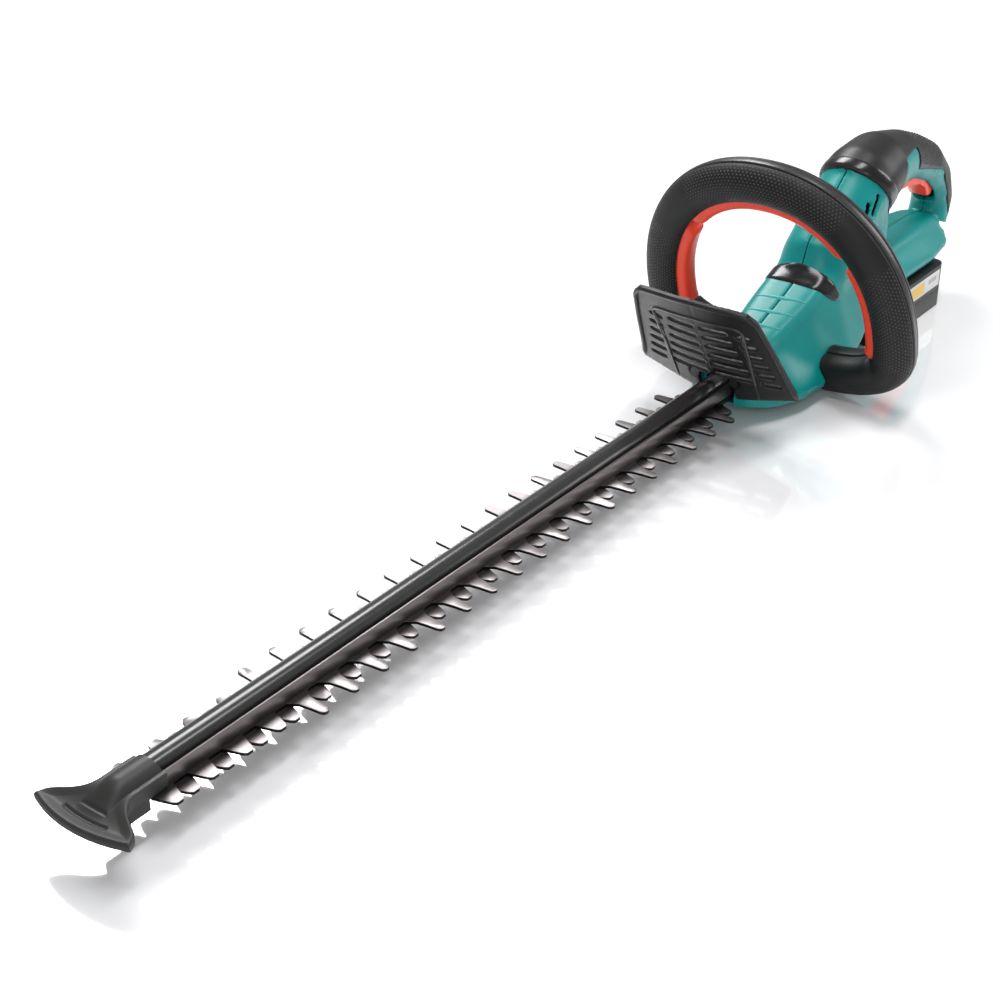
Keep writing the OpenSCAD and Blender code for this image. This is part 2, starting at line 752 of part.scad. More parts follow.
module crank_gear() {
  place() color([0.78, 0.77, 0.72]) translate([crank_x, 0, level_b]) difference() {
    spur_gear(crank_teeth, 0, gear_h);
    translate([0, 0, -1]) cylinder(r = 4.02, h = 10);
    for (a = [30 : 60 : 330]) rotate([0, 0, a]) translate([12, 0, -1]) cylinder(r = 3.6, h = 10);
  }
}

// Shaft, counterweighted disc and crank pin in one piece
module crank_shaft() {
  place() color(steel) translate([crank_x, 0, 0]) {
    translate([0, 0, 4.2]) cylinder(r = 4, h = cover_z + cover_t - 4.4);
    translate([0, 0, 1.2]) cylinder(r = 15, h = 3.1);
    translate([0, crank_throw, -1.8]) cylinder(r = 4, h = 3.1);
  }
}

module idler_gear() {
  place() color([0.78, 0.77, 0.72]) translate([idler_x, 0, 0]) difference() {
    union() {
      translate([0, 0, level_b]) spur_gear(idler_small, 15, level_a - level_b + 0.1);
      translate([0, 0, level_a]) spur_gear(idler_large, 0, gear_h - 0.6);
    }
    cylinder(r = 4.02, h = 30);
    for (a = [0 : 60 : 300])
      rotate([0, 0, a]) translate([12.5, 0, level_a - 1]) cylinder(r = 3.2, h = 10);
  }
}

module idler_shaft() {
  place() color(steel) translate([idler_x, 0, 5.6]) cylinder(r = 4, h = 19.6);
}

// ---------- motor, standing upright on the gearbox cover ----------

motor_z = 25.6;
can_r = 17.8;
can_h = 40;
module motor_can() {
  place() color([0.55, 0.56, 0.58]) translate([motor_x, 0, motor_z]) difference() {
    cylinder(r = can_r, h = can_h);
    translate([0, 0, 1.6]) cylinder(r = can_r - 1.4, h = can_h);
    translate([0, 0, -1]) cylinder(r = 5, h = 5);
    for (side = [-1, 1]) translate([0, side * 10.5, -1]) cylinder(r = 1.6, h = 5);
  }
}

module motor_end_cap() {
  place() color(soft_black) translate([motor_x, 0, motor_z + can_h]) difference() {
    cylinder(r = can_r, h = 4);
    translate([0, 0, -1]) cylinder(r = 5, h = 8);
    for (a = [30, 150, 210, 330]) rotate([0, 0, a]) translate([12.5, 0, -1]) cylinder(r = 2.2, h = 8);
  }
}

module motor_bushes() {
  place() color([0.72, 0.55, 0.32]) for (z = [motor_z, motor_z + can_h])
    translate([motor_x, 0, z]) difference() {
      cylinder(r = 4.98, h = z > motor_z ? 4 : 3.4);
      translate([0, 0, -1]) cylinder(r = 1.63, h = 8);
    }
}

module motor_magnets() {
  place() color([0.25, 0.25, 0.27]) translate([motor_x, 0, motor_z + 5]) difference() {
    cylinder(r = can_r - 1.45, h = 27);
    translate([0, 0, -1]) cylinder(r = 13.2, h = 30);
    translate([-30, -4.5, -1]) cube([60, 9, 30]);
  }
}

module motor_brushes() {
  place() color([0.3, 0.28, 0.28]) for (side = [-1, 1])
    translate([motor_x - 2, side * 7.9 - 2.9, motor_z + 34.6]) cube([4, 5.8, 4]);
}

module motor_screws() {
  place() color(steel) for (side = [-1, 1])
    translate([motor_x, side * 10.5, motor_z + 1.6]) screw(1.25, 2.3, 1.5, 4.4);
}

module motor_shaft() {
  place() color(steel) translate([motor_x, 0, level_a - 0.4]) cylinder(r = 1.59, h = 62.5);
}

module armature() {
  place() color([0.5, 0.42, 0.36]) translate([motor_x, 0, motor_z + 6]) difference() {
    cylinder(r = 12.6, h = 25);
    translate([0, 0, -1]) cylinder(r = 1.6, h = 30);
    for (a = [0 : 72 : 288]) rotate([0, 0, a]) translate([10, -1.1, -1]) cube([5, 2.2, 30]);
  }
}

module commutator() {
  place() color([0.75, 0.45, 0.25]) translate([motor_x, 0, motor_z + 33.6]) difference() {
    cylinder(r = 4.8, h = 5.8);
    translate([0, 0, -1]) cylinder(r = 1.6, h = 8);
  }
}

module motor_pinion() {
  place() color([0.7, 0.69, 0.66]) translate([motor_x, 0, level_a]) difference() {
    spur_gear(pinion_teeth, 18, gear_h - 0.6);
    translate([0, 0, -1]) cylinder(r = 1.6, h = 8);
  }
}

module cooling_fan() {
  place() color(hard_black) translate([motor_x, 0, motor_z + can_h + 5.2]) difference() {
    union() {
      cylinder(r = 14, h = 1.2);
      cylinder(r = 4, h = 6.5);
      for (a = [0 : 40 : 320]) rotate([0, 0, a]) translate([5, -0.6, 0.6]) cube([8.6, 1.2, 5.4]);
    }
    translate([0, 0, -1]) cylinder(r = 1.6, h = 10);
  }
}

// ---------- rear handle ----------

// Side outline of the trigger, from its pivot to the hook
trigger_outline = [[-692, 80], [-700, 79], [-728, 77.5], [-752, 73], [-763, 67], [-769, 58],
  [-777, 58], [-780, 66], [-779, 78], [-774, 84.5], [-752, 87.5], [-722, 90.5], [-700, 90.5],
  [-692.5, 89]];
module trigger() {
  place() color(orange) difference() {
    translate([0, trigger_half, 0]) rotate([90, 0, 0]) linear_extrude(2 * trigger_half)
      polygon(trigger_outline);
    translate([trigger_pivot[0], 20, trigger_pivot[1]]) rotate([90, 0, 0])
      cylinder(r = pin_r + 0.05, h = 40);
    // hollow upper side
    translate([-770, -6.4, 81.5]) cube([62, 12.8, 12]);
  }
}

module trigger_pin() {
  place() color(steel) translate([trigger_pivot[0], 12, trigger_pivot[1]]) rotate([90, 0, 0])
    cylinder(r = pin_r, h = 24);
}

module trigger_spring() {
  place() color(steel) translate([-760, 0, 82]) coil_spring(3.4, 0.5, 12, 5);
}

module trigger_switch() {
  place() color(soft_black) {
    translate([-744, -8, 97]) cube([32, 16, 13]);
    translate([-738, -2.5, 93.5]) cube([8, 5, 4]);
  }
}

module circuit_board() {
  place() color([0.1, 0.4, 0.2]) {
    translate([-650, -17, 42]) cube([1.6, 34, 32]);
    translate([-652.5, -12, 48]) cube([2.6, 9, 9]);
    translate([-655, 3, 60]) cube([5.1, 8, 8]);
    translate([-648.5, -6, 46]) cube([3, 12, 7]);
  }
}

module terminal_block() {
  place() color(soft_black) difference() {
    translate([-671.5, -19.5, 13.8]) cube([18, 39, 22]);
    for (y = [-12, 0, 12]) translate([-675, y - 0.5, 15.6]) cube([14, 1, 5.8]);
  }
}

module contact_blades() {
  place() color([0.8, 0.62, 0.3]) for (y = [-12, 0, 12])
    translate([-686, y - 0.45, 15.7]) cube([25, 0.9, 5.6]);
}

// ---------- battery ----------

pack_front = pack_rear + pack_l;
// Rounded slab of the pack's outline, grown by t
module pack_slab(t, low, high) {
  r = 9 + t;
  translate([0, 0, low]) linear_extrude(high - low) hull() {
    for (x = [pack_rear + 9, pack_front - 9], y = [-1, 1])
      translate([x, y * (pack_w / 2 - 9)]) circle(r = r, $fn = 40);
  }
}

module battery_lower_case() {
  place() color(soft_black) difference() {
    pack_slab(0, pack_low, pack_split);
    pack_slab(-2, pack_low + 2, pack_split + 1);
  }
}

module battery_upper_case() {
  place() color(hard_black) difference() {
    union() {
      difference() {
        pack_slab(0, pack_split, pack_top);
        pack_slab(-2, pack_split - 1, pack_top - 2);
      }
      // tower with the two rails
      translate([-750, -20, pack_top - 0.1]) cube([77, 40, tower_top - pack_top + 0.1]);
      translate([-750, -24.5, 17.4]) cube([77, 49, 3.2]);
      // stop behind the latch spring
      translate([-740, -8, 2]) cube([2, 16, pack_top - 3]);
    }
    // slots for the contact blades
    for (y = [-12, 0, 12]) translate([-700, y - 1, 13.5]) cube([40, 2, 12]);
    // window for the latch
    translate([-770, -11.3, 1.4]) cube([20, 22.6, 7.9]);
  }
}

cell_xs = [for (i = [0 : 4]) -661.5 - i * 18.6];
module battery_cells() {
  place() color([0.2, 0.45, 0.75]) for (x = cell_xs)
    translate([x, 32.5, -11.5]) rotate([90, 0, 0]) cylinder(r = cell_d / 2, h = 65);
}

// Nickel strips that join the cells' ends
module battery_contacts() {
  place() color([0.8, 0.8, 0.78]) for (side = [-1, 1], i = [0 : 1])
    translate([cell_xs[2 * i + (side > 0 ? 0 : 1)] - 22, side * 32.75 - 0.2, -14.5])
      cube([26, 0.4, 6]);
}

module battery_board() {
  place() color([0.1, 0.4, 0.2]) translate([-734, -26, 4.4]) cube([84, 52, 1.6]);
}

module battery_latch() {
  place() color(orange) union() {
    translate([-760, -11, 1.7]) cube([6, 22, 7.3]);
    translate([-754.2, -13, 0.6]) cube([2, 26, 9]);
  }
}

module latch_spring() {
  place() color(steel) translate([-752, 0, 5.4]) rotate([0, 90, 0]) coil_spring(2.6, 0.4, 11.8, 5);
}

// ---------- output ----------

left_shell();
right_shell();
grip_cover();
collar_band();
hand_guard();
guard_screws();
loop_front_shell();
loop_rear_shell();
loop_switches();
loop_screws();
lever_left();
lever_top();
lever_right();
lever_left_spring();
lever_top_spring();
lever_right_spring();
upper_blade();
lower_blade();
bar_channel();
bar_cover();
blade_bolts();
blade_nuts();
clamp_plate();
tip_guard();
tip_screw();
gearbox_base();
gearbox_cover();
gearbox_screws();
gear_bushes();
crank_gear();
crank_shaft();
idler_gear();
idler_shaft();
motor_can();
motor_end_cap();
motor_bushes();
motor_magnets();
motor_brushes();
motor_screws();
motor_shaft();
armature();
commutator();
motor_pinion();
cooling_fan();
trigger();
trigger_pin();
trigger_spring();
trigger_switch();
circuit_board();
terminal_block();
contact_blades();
housing_screws();
battery_upper_case();
battery_lower_case();
battery_cells();
battery_contacts();
battery_board();
battery_latch();
latch_spring();
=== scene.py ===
"""Looks of a cordless hedge trimmer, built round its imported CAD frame.

Lengths in the helpers are millimetres in the blade frame: x = 0 at the foremost long tooth, +X to the tip,
z = 0 on top of the upper blade. at() turns them into metres in the row frame.
"""

import json
from math import asin, atan2, cos, degrees, pi, radians, sin, sqrt

import bmesh
import bpy
import numpy as np
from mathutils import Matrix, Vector
from mathutils.bvhtree import BVHTree


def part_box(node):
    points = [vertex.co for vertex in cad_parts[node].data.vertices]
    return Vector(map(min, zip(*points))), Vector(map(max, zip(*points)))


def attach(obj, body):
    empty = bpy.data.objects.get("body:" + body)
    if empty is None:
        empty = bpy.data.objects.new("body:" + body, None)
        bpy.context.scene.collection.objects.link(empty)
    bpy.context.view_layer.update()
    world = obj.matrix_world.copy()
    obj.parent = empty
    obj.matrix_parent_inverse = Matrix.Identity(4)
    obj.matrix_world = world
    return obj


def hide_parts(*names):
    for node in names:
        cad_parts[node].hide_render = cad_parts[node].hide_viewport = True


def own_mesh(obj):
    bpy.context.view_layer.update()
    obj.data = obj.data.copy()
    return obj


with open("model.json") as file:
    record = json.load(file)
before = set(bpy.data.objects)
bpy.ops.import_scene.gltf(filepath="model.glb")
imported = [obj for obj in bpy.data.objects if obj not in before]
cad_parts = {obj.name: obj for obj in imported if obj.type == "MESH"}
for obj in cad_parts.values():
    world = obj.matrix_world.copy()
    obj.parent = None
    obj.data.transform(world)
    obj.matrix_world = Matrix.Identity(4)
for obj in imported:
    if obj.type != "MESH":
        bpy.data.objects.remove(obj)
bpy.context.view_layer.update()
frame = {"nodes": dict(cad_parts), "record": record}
nodes = frame["nodes"]

MM = 0.001
TIP_X = 150.5
origin_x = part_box("tip_guard")[1].x - TIP_X * MM
blade_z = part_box("upper_blade")[1].z


def at(x, y, z):
    """A point of the blade frame, in millimetres, as metres in the row frame."""
    return Vector((origin_x + x * MM, y * MM, blade_z + z * MM))


# ---------- materials ----------


class Material:
    """A principled material with short calls for the nodes that it needs."""

    def __init__(self, name, roughness=0.5, metallic=0.0, **sockets):
        self.material = bpy.data.materials.new(name)
        self.material.use_nodes = True
        self.tree = self.material.node_tree
        self.shader = self.tree.nodes["Principled BSDF"]
        self.shader.inputs["Roughness"].default_value = roughness
        self.shader.inputs["Metallic"].default_value = metallic
        for socket, value in sockets.items():
            self.shader.inputs[socket.replace("_", " ")].default_value = value
        self.normal = None
        coords = self.tree.nodes.new("ShaderNodeTexCoord")
        self.object_space = coords.outputs["Object"]
        self.uv = coords.outputs["UV"]

    def node(self, kind, inputs=None, **settings):
        made = self.tree.nodes.new(kind)
        for key, value in settings.items():
            setattr(made, key, value)
        for key, value in (inputs or {}).items():
            socket = made.inputs[key]
            if isinstance(value, bpy.types.NodeSocket):
                self.tree.links.new(value, socket)
            else:
                socket.default_value = value
        return made

    def math(self, operation, a, b=0.0):
        return self.node("ShaderNodeMath", {0: a, 1: b}, operation=operation).outputs[0]

    def noise(self, scale, detail=3.0, stretch=None):
        vector = self.object_space
        if stretch:
            vector = self.node("ShaderNodeMapping", {"Vector": vector, "Scale": stretch}).outputs[0]
        inputs = {"Vector": vector, "Scale": scale, "Detail": detail}
        return self.node("ShaderNodeTexNoise", inputs).outputs[0]

    def ramp(self, value, low, high, start=0.0, end=1.0):
        inputs = {"Value": value, "From Min": start, "From Max": end, "To Min": low, "To Max": high}
        return self.node("ShaderNodeMapRange", inputs).outputs[0]

    def mix(self, factor, a, b):
        made = self.node("ShaderNodeMix", {0: factor}, data_type="RGBA")
        for index, value in ((6, a), (7, b)):
            if isinstance(value, bpy.types.NodeSocket):
                self.tree.links.new(value, made.inputs[index])
            else:
                made.inputs[index].default_value = (*value, 1)
        return made.outputs[2]

    def color(self, value):
        self.tree.links.new(value, self.shader.inputs["Base Color"])

    def roughness(self, value):
        self.tree.links.new(value, self.shader.inputs["Roughness"])

    def bump(self, height, distance_mm, strength=1.0):
        """Adds a layer of bump over the ones before it."""
        inputs = {"Height": height, "Distance": distance_mm * MM, "Strength": strength}
        if self.normal:
            inputs["Normal"] = self.normal
        self.normal = self.node("ShaderNodeBump", inputs).outputs[0]
        self.tree.links.new(self.normal, self.shader.inputs["Normal"])


EDGE_START, EDGE_FULL = 0.52, 0.62


def edge_mask(m):
    """Near 1 on convex edges, where a surface wears and catches the light."""
    pointiness = m.node("ShaderNodeNewGeometry").outputs["Pointiness"]
    return m.ramp(pointiness, 0.0, 1.0, EDGE_START, EDGE_FULL)


def moulded_plastic(name, color, edge_wear_and_highlight, roughness, grain_mm=0.035, **sockets):
    """Spark-eroded moulded plastic with faint colour drift, handling marks and paler edges."""
    m = Material(name, roughness, **sockets)
    drift = m.noise(18.0, 4.0)
    base = m.mix(m.ramp(drift, 0.0, 0.55, 0.35, 0.7), color, tuple(c * 0.86 for c in color))
    # Paler convex edges: partly wear, partly a painted highlight where the edges catch the light.
    m.color(m.mix(m.math("MULTIPLY", edge_mask(m), 0.35), base, edge_wear_and_highlight))
    handling = m.ramp(m.noise(240.0, 2.0), -0.05, 0.07)
    m.roughness(m.math("ADD", handling, m.ramp(drift, roughness - 0.04, roughness + 0.05)))
    m.bump(m.noise(2600.0, 2.0), grain_mm, 0.35)
    return m.material


UV_UNIT = 100.0
DOT_SPACING, DOT_ROW_CLOSENESS = 3.2, 1.15


def dotted_grip():
    """Soft overmould with staggered rows of raised dots, laid out by the lengths in the UV map."""
    m = Material("soft_grip_dots", 0.5, Specular_IOR_Level=0.28)
    per_unit = (UV_UNIT / DOT_SPACING,) * 3
    scaled = m.node("ShaderNodeVectorMath", {0: m.uv, 1: per_unit}, operation="MULTIPLY").outputs[0]
    parts = m.node("ShaderNodeSeparateXYZ", {0: scaled})
    along = parts.outputs[0]
    around = m.math("MULTIPLY", parts.outputs[1], DOT_ROW_CLOSENESS)
    row = m.math("FLOOR", around)
    shift = m.math("MULTIPLY", m.math("MODULO", row, 2.0), 0.5)
    u = m.math("SUBTRACT", m.math("FRACT", m.math("ADD", along, shift)), 0.5)
    v = m.math("SUBTRACT", m.math("FRACT", around), 0.5)
    radius = m.math("SQRT", m.math("ADD", m.math("MULTIPLY", u, u), m.math("MULTIPLY", v, v)))
    dot = m.ramp(radius, 1.0, 0.0, 0.12, 0.27)
    patch = m.node("ShaderNodeVertexColor", layer_name="dots").outputs[0]
    mask = m.math("MULTIPLY", dot, patch)
    drift = m.noise(22.0, 4.0)
    base = m.mix(m.ramp(drift, 0.0, 0.6), (0.0075, 0.0075, 0.0078), (0.012, 0.0115, 0.012))
    # Paler convex edges: partly wear, partly a painted highlight where the edges catch the light.
    edge_wear_and_highlight = m.mix(m.math("MULTIPLY", edge_mask(m), 0.4), base, (0.04, 0.04, 0.041))
    m.color(m.mix(m.math("MULTIPLY", mask, 0.8), edge_wear_and_highlight, (0.085, 0.083, 0.084)))
    m.roughness(m.ramp(m.noise(160.0), 0.46, 0.62))
    m.bump(m.noise(1800.0, 2.0), 0.05, 0.4)
    m.bump(mask, 0.5, 0.9)
    return m.material


def soft_overmould():
    """Plain soft rubber with a fine dull grain."""
    m = Material("soft_grip_plain", 0.42, Specular_IOR_Level=0.3)
    drift = m.noise(16.0, 4.0)
    base = m.mix(m.ramp(drift, 0.0, 0.7), (0.0085, 0.0083, 0.0085), (0.013, 0.0125, 0.013))
    # Paler convex edges: partly wear, partly a painted highlight where the edges catch the light.
    m.color(m.mix(m.math("MULTIPLY", edge_mask(m), 0.4), base, (0.04, 0.04, 0.041)))
    m.roughness(m.ramp(m.noise(90.0), 0.34, 0.48))
    m.bump(m.noise(1500.0, 3.0), 0.06, 0.4)
    return m.material


def ground_steel(name, color, dark, roughness, stretch=(1.0, 30.0, 30.0), metallic=1.0):
    """Steel with fine grinding marks along x and darker stained patches."""
    m = Material(name, roughness, metallic)
    marks = m.noise(260.0, 4.0, stretch)
    patches = m.noise(30.0, 4.0)
    tone = m.mix(m.ramp(marks, 0.0, 0.35, 0.3, 0.7), color, tuple(c * 0.8 for c in color))
    m.color(m.mix(m.ramp(patches, 0.0, 0.4, 0.55, 0.75), tone, dark))
    grinding = m.ramp(marks, -0.06, 0.08)
    m.roughness(m.math("ADD", grinding, m.ramp(patches, roughness - 0.05, roughness + 0.06)))
    m.bump(marks, 0.03, 0.25)
    return m.material


# Distances from the blade's centre line, in metres, over which the painted shade of the bar on the blade's
# body fades out into the bright ground teeth
PAINTED_SHADE_FADE_START, PAINTED_SHADE_FADE_END = 0.0135, 0.0215


def blade_steel():
    """Blade steel: bright ground teeth, a body painted dark near the bar as painted shade, and dark sheared
    edges that face sideways.
    """
    m = Material("blade_steel", 0.32, 1.0)
    normal = m.node("ShaderNodeSeparateXYZ", {0: m.node("ShaderNodeNewGeometry").outputs["True Normal"]})
    upright = m.math("ABSOLUTE", normal.outputs[2])
    face = m.ramp(upright, 0.0, 1.0, 0.35, 0.8)
    marks = m.noise(300.0, 4.0, (30.0, 1.0, 30.0))
    patches = m.noise(26.0, 4.0)
    bright = m.mix(m.ramp(marks, 0.0, 0.5, 0.3, 0.7), (0.36, 0.335, 0.335), (0.28, 0.258, 0.258))
    bright = m.mix(m.ramp(patches, 0.0, 0.3, 0.55, 0.8), bright, (0.22, 0.20, 0.197))
    across = m.math("ABSOLUTE", m.node("ShaderNodeSeparateXYZ", {0: m.object_space}).outputs[1])
    # Painted shade: the blade's body near the bar is painted near-black for the bar's shadow on it, fading
    # out towards the bright teeth.
    out_of_painted_shade = m.ramp(across, 0.0, 1.0, PAINTED_SHADE_FADE_START, PAINTED_SHADE_FADE_END)
    bright = m.mix(out_of_painted_shade, (0.045, 0.04, 0.04), bright)
    m.color(m.mix(face, (0.02, 0.019, 0.019), bright))
    m.roughness(m.math("ADD", m.ramp(marks, -0.05, 0.07), m.ramp(face, 0.5, 0.44)))
    m.bump(marks, 0.03, 0.3)
    return m.material


def label_material():
    """Generic battery label: pale ground with plain colour blocks, laid out along x."""
    m = Material("battery_label", 0.35, Coat_Weight=0.3)
    parts = m.node("ShaderNodeSeparateXYZ", {0: m.uv})
    u, v = parts.outputs[0], parts.outputs[1]

    def block(low_u, high_u, low_v, high_v):
        inside = m.math("MULTIPLY", m.math("GREATER_THAN", u, low_u), m.math("LESS_THAN", u, high_u))
        upright = m.math("MULTIPLY", m.math("GREATER_THAN", v, low_v), m.math("LESS_THAN", v, high_v))
        return m.math("MULTIPLY", inside, upright)

    color = m.mix(m.ramp(m.noise(60.0), 0.0, 0.3), (0.62, 0.61, 0.6), (0.5, 0.49, 0.48))
    color = m.mix(block(0.30, 0.56, 0.15, 0.88), color, (0.72, 0.44, 0.02))
    color = m.mix(block(0.58, 0.80, 0.15, 0.88), color, (0.01, 0.07, 0.045))
    color = m.mix(block(0.06, 0.22, 0.25, 0.55), color, (0.3, 0.3, 0.31))
    m.color(color)
    m.roughness(m.ramp(m.noise(120.0), 0.28, 0.42))
    m.bump(m.noise(900.0), 0.02, 0.3)
    return m.material


TEAL = (0.0, 0.245, 0.235)
TEAL_EDGE = (0.05, 0.42, 0.40)
BLACK = (0.0085, 0.0082, 0.0085)
BLACK_EDGE = (0.05, 0.05, 0.051)
ORANGE = (0.93, 0.05, 0.018)
ORANGE_EDGE = (0.97, 0.16, 0.08)

looks = {
    "teal": moulded_plastic("teal_plastic", TEAL, TEAL_EDGE, 0.34, Specular_IOR_Level=0.3),
    "black": moulded_plastic("black_plastic", BLACK, BLACK_EDGE, 0.38, Specular_IOR_Level=0.3),
    "gloss_black": moulded_plastic("black_cover", (0.007, 0.007, 0.0072), BLACK_EDGE, 0.2, 0.015,
                                   Specular_IOR_Level=0.4),
    "rim": moulded_plastic("loop_rim", (0.020, 0.019, 0.020), (0.10, 0.10, 0.10), 0.3,
                           Specular_IOR_Level=0.45),
    "orange": moulded_plastic("orange_plastic", ORANGE, ORANGE_EDGE, 0.32, Specular_IOR_Level=0.3),
    "soft": soft_overmould(),
    "dots": dotted_grip(),
    "blade": blade_steel(),
    "channel": ground_steel("channel_steel", (0.20, 0.18, 0.178), (0.13, 0.115, 0.113), 0.36),
    "bright": ground_steel("plain_steel", (0.6, 0.59, 0.57), (0.4, 0.38, 0.36), 0.3, (10.0, 10.0, 10.0)),
    "fastener": ground_steel("black_steel", (0.09, 0.09, 0.092), (0.05, 0.045, 0.042), 0.4, (9.0, 9.0, 9.0)),
    "bronze": ground_steel("sintered_bronze", (0.5, 0.3, 0.13), (0.3, 0.19, 0.09), 0.45, (20.0, 20.0, 20.0)),
    "cast": ground_steel("cast_alloy", (0.55, 0.56, 0.57), (0.4, 0.41, 0.42), 0.55, (14.0, 14.0, 14.0)),
    "copper": ground_steel("copper", (0.6, 0.26, 0.13), (0.4, 0.18, 0.09), 0.4, (6.0, 6.0, 40.0)),
    "magnet": ground_steel("ferrite", (0.06, 0.06, 0.065), (0.04, 0.04, 0.04), 0.6, (16.0, 16.0, 16.0), 0.0),
    "board": moulded_plastic("circuit_board", (0.01, 0.09, 0.03), (0.2, 0.3, 0.2), 0.35),
    "cell": moulded_plastic("cell_sleeve", (0.02, 0.12, 0.42), (0.2, 0.35, 0.6), 0.3, 0.01),
    "label": label_material(),
    "tip": moulded_plastic("tip_plastic", (0.026, 0.025, 0.024), (0.09, 0.09, 0.09), 0.42, 0.05,
                           Specular_IOR_Level=0.3),
    "teal_light": moulded_plastic("teal_rib", (0.03, 0.36, 0.34), (0.2, 0.6, 0.58), 0.3,
                                  Specular_IOR_Level=0.35),
}

node_looks = {
    "teal": ["left_shell", "right_shell"],
    "soft": ["grip_cover", "loop_front_shell"],
    "black": ["collar_band", "hand_guard", "loop_rear_shell", "tip_guard", "cooling_fan", "motor_end_cap",
              "terminal_block", "trigger_switch", "loop_switches", "battery_upper_case",
              "battery_lower_case", "motor_brushes"],
    "gloss_black": ["bar_cover"],
    "orange": ["lever_left", "lever_top", "lever_right", "trigger", "battery_latch"],
    "blade": ["upper_blade", "lower_blade"],
    "channel": ["bar_channel", "clamp_plate"],
    "fastener": ["guard_screws", "loop_screws", "blade_bolts", "blade_nuts", "tip_screw", "gearbox_screws",
                 "motor_screws", "housing_screws", "trigger_pin"],
    "bright": ["lever_left_spring", "lever_top_spring", "lever_right_spring", "trigger_spring",
               "latch_spring", "crank_gear", "idler_gear", "motor_pinion", "crank_shaft", "idler_shaft",
               "motor_shaft", "motor_can", "contact_blades", "battery_contacts"],
    "cast": ["gearbox_base", "gearbox_cover"],
    "bronze": ["gear_bushes", "motor_bushes"],
    "copper": ["armature", "commutator"],
    "magnet": ["motor_magnets"],
    "board": ["circuit_board", "battery_board"],
    "cell": ["battery_cells"],
}
look_of = {name: look for look, names in node_looks.items() for name in names}
body_of = {name: body for body, names in frame["record"]["behaviour"]["bodies"].items() for name in names}

for name, node in nodes.items():
    node.data.materials.clear()
    node.data.materials.append(looks[look_of[name]])


# ---------- mesh helpers ----------


def piece(name, mesh, body, look=None):
    """Links a mesh as a piece that rides on a body."""
    made = bpy.data.objects.new(name, mesh)
    bpy.context.scene.collection.objects.link(made)
    if look:
        mesh.materials.clear()
        mesh.materials.append(looks[look])
    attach(made, body)
    return made


def applied(made):
    """Turns a piece's modifiers into plain mesh."""
    graph = bpy.context.evaluated_depsgraph_get()
    mesh = bpy.data.meshes.new_from_object(made.evaluated_get(graph))
    made.modifiers.clear()
    made.data = mesh
    return made


def smooth(mesh, angle=35.0):
    """Smooth shading with edges sharper than the angle kept."""
    mesh.shade_smooth()
    mesh.set_sharp_from_angle(angle=radians(angle))


def copy_of(name):
    """Welded copy of a CAD node's mesh."""
    mesh = nodes[name].data.copy()
    b = bmesh.new()
    b.from_mesh(mesh)
    bmesh.ops.remove_doubles(b, verts=b.verts, dist=0.002 * MM)
    b.to_mesh(mesh)
    b.free()
    for attribute in ("custom_normal", "sharp_edge", "sharp_face"):
        if attribute in mesh.attributes:
            mesh.attributes.remove(mesh.attributes[attribute])
    return mesh


def read(collection, key, width, kind=float):
    """One attribute of every element, as rows of an array."""
    values = np.empty(len(collection) * width, dtype=kind)
    collection.foreach_get(key, values)
    return values.reshape(-1, width)


def relax(mesh, rounds, soft_rounds):
    """Evens out the flats of a fine mesh. Corners take only the last few rounds, so rims stay in place."""
    places = read(mesh.vertices, "co", 3)
    normals = read(mesh.vertices, "normal", 3)
    edges = read(mesh.edges, "vertices", 2, np.int32)
    near, far = edges[:, 0], edges[:, 1]
    count = len(places)
    turn = 1 - (normals[near] * normals[far]).sum(1)
    sharp = np.zeros(count)
    np.maximum.at(sharp, near, turn)
    np.maximum.at(sharp, far, turn)
    for _ in range(2):
        grown = sharp.copy()
        np.maximum.at(grown, near, sharp[far] * 0.85)
        np.maximum.at(grown, far, sharp[near] * 0.85)
        sharp = grown
    free = np.clip(1 - (sharp - 0.06) / 0.10, 0, 1)[:, None]
    degree = (np.bincount(near, minlength=count) + np.bincount(far, minlength=count))[:, None]
    for step in range(rounds):
        total = np.stack([np.bincount(near, places[far, k], count) + np.bincount(far, places[near, k], count)
                          for k in range(3)], 1)
        share = free if step < rounds - soft_rounds else 1.0
        places += 0.5 * share * (total / degree - places)
    mesh.vertices.foreach_set("co", places.ravel())
    mesh.update()


def moulded(name, voxel_mm, rounds, soft_rounds=3):
    """Stands a CAD node's own shape in with all its edges softened, as a mould leaves them."""
    made = piece(name + "_moulded", copy_of(name), body_of[name])
    remesh = made.modifiers.new("remesh", "REMESH")
    remesh.mode = "VOXEL"
    remesh.voxel_size = voxel_mm * MM
    applied(made)
    relax(made.data, rounds, soft_rounds)
    made.data.shade_smooth()
    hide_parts(name)
    return made


def bevelled(name, width_mm, angle=35.0, segments=2):
    """Stands a CAD node's own shape in with its sharp edges rounded."""
    made = piece(name + "_edges", copy_of(name), body_of[name])
    bevel = made.modifiers.new("bevel", "BEVEL")
    bevel.width = width_mm * MM
    bevel.segments = segments
    bevel.limit_method = "ANGLE"
    bevel.angle_limit = radians(angle)
    bevel.use_clamp_overlap = True
    applied(made)
    smooth(made.data, 40.0)
    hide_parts(name)
    return made


def surface_of(*made):
    """Ray target over the meshes of some pieces."""
    points, faces = [], []
    for one in made:
        start = len(points)
        points += [v.co.copy() for v in one.data.vertices]
        faces += [[start + i for i in face.vertices] for face in one.data.polygons]
    return BVHTree.FromPolygons(points, faces)


SEAM_STEP = 1.6


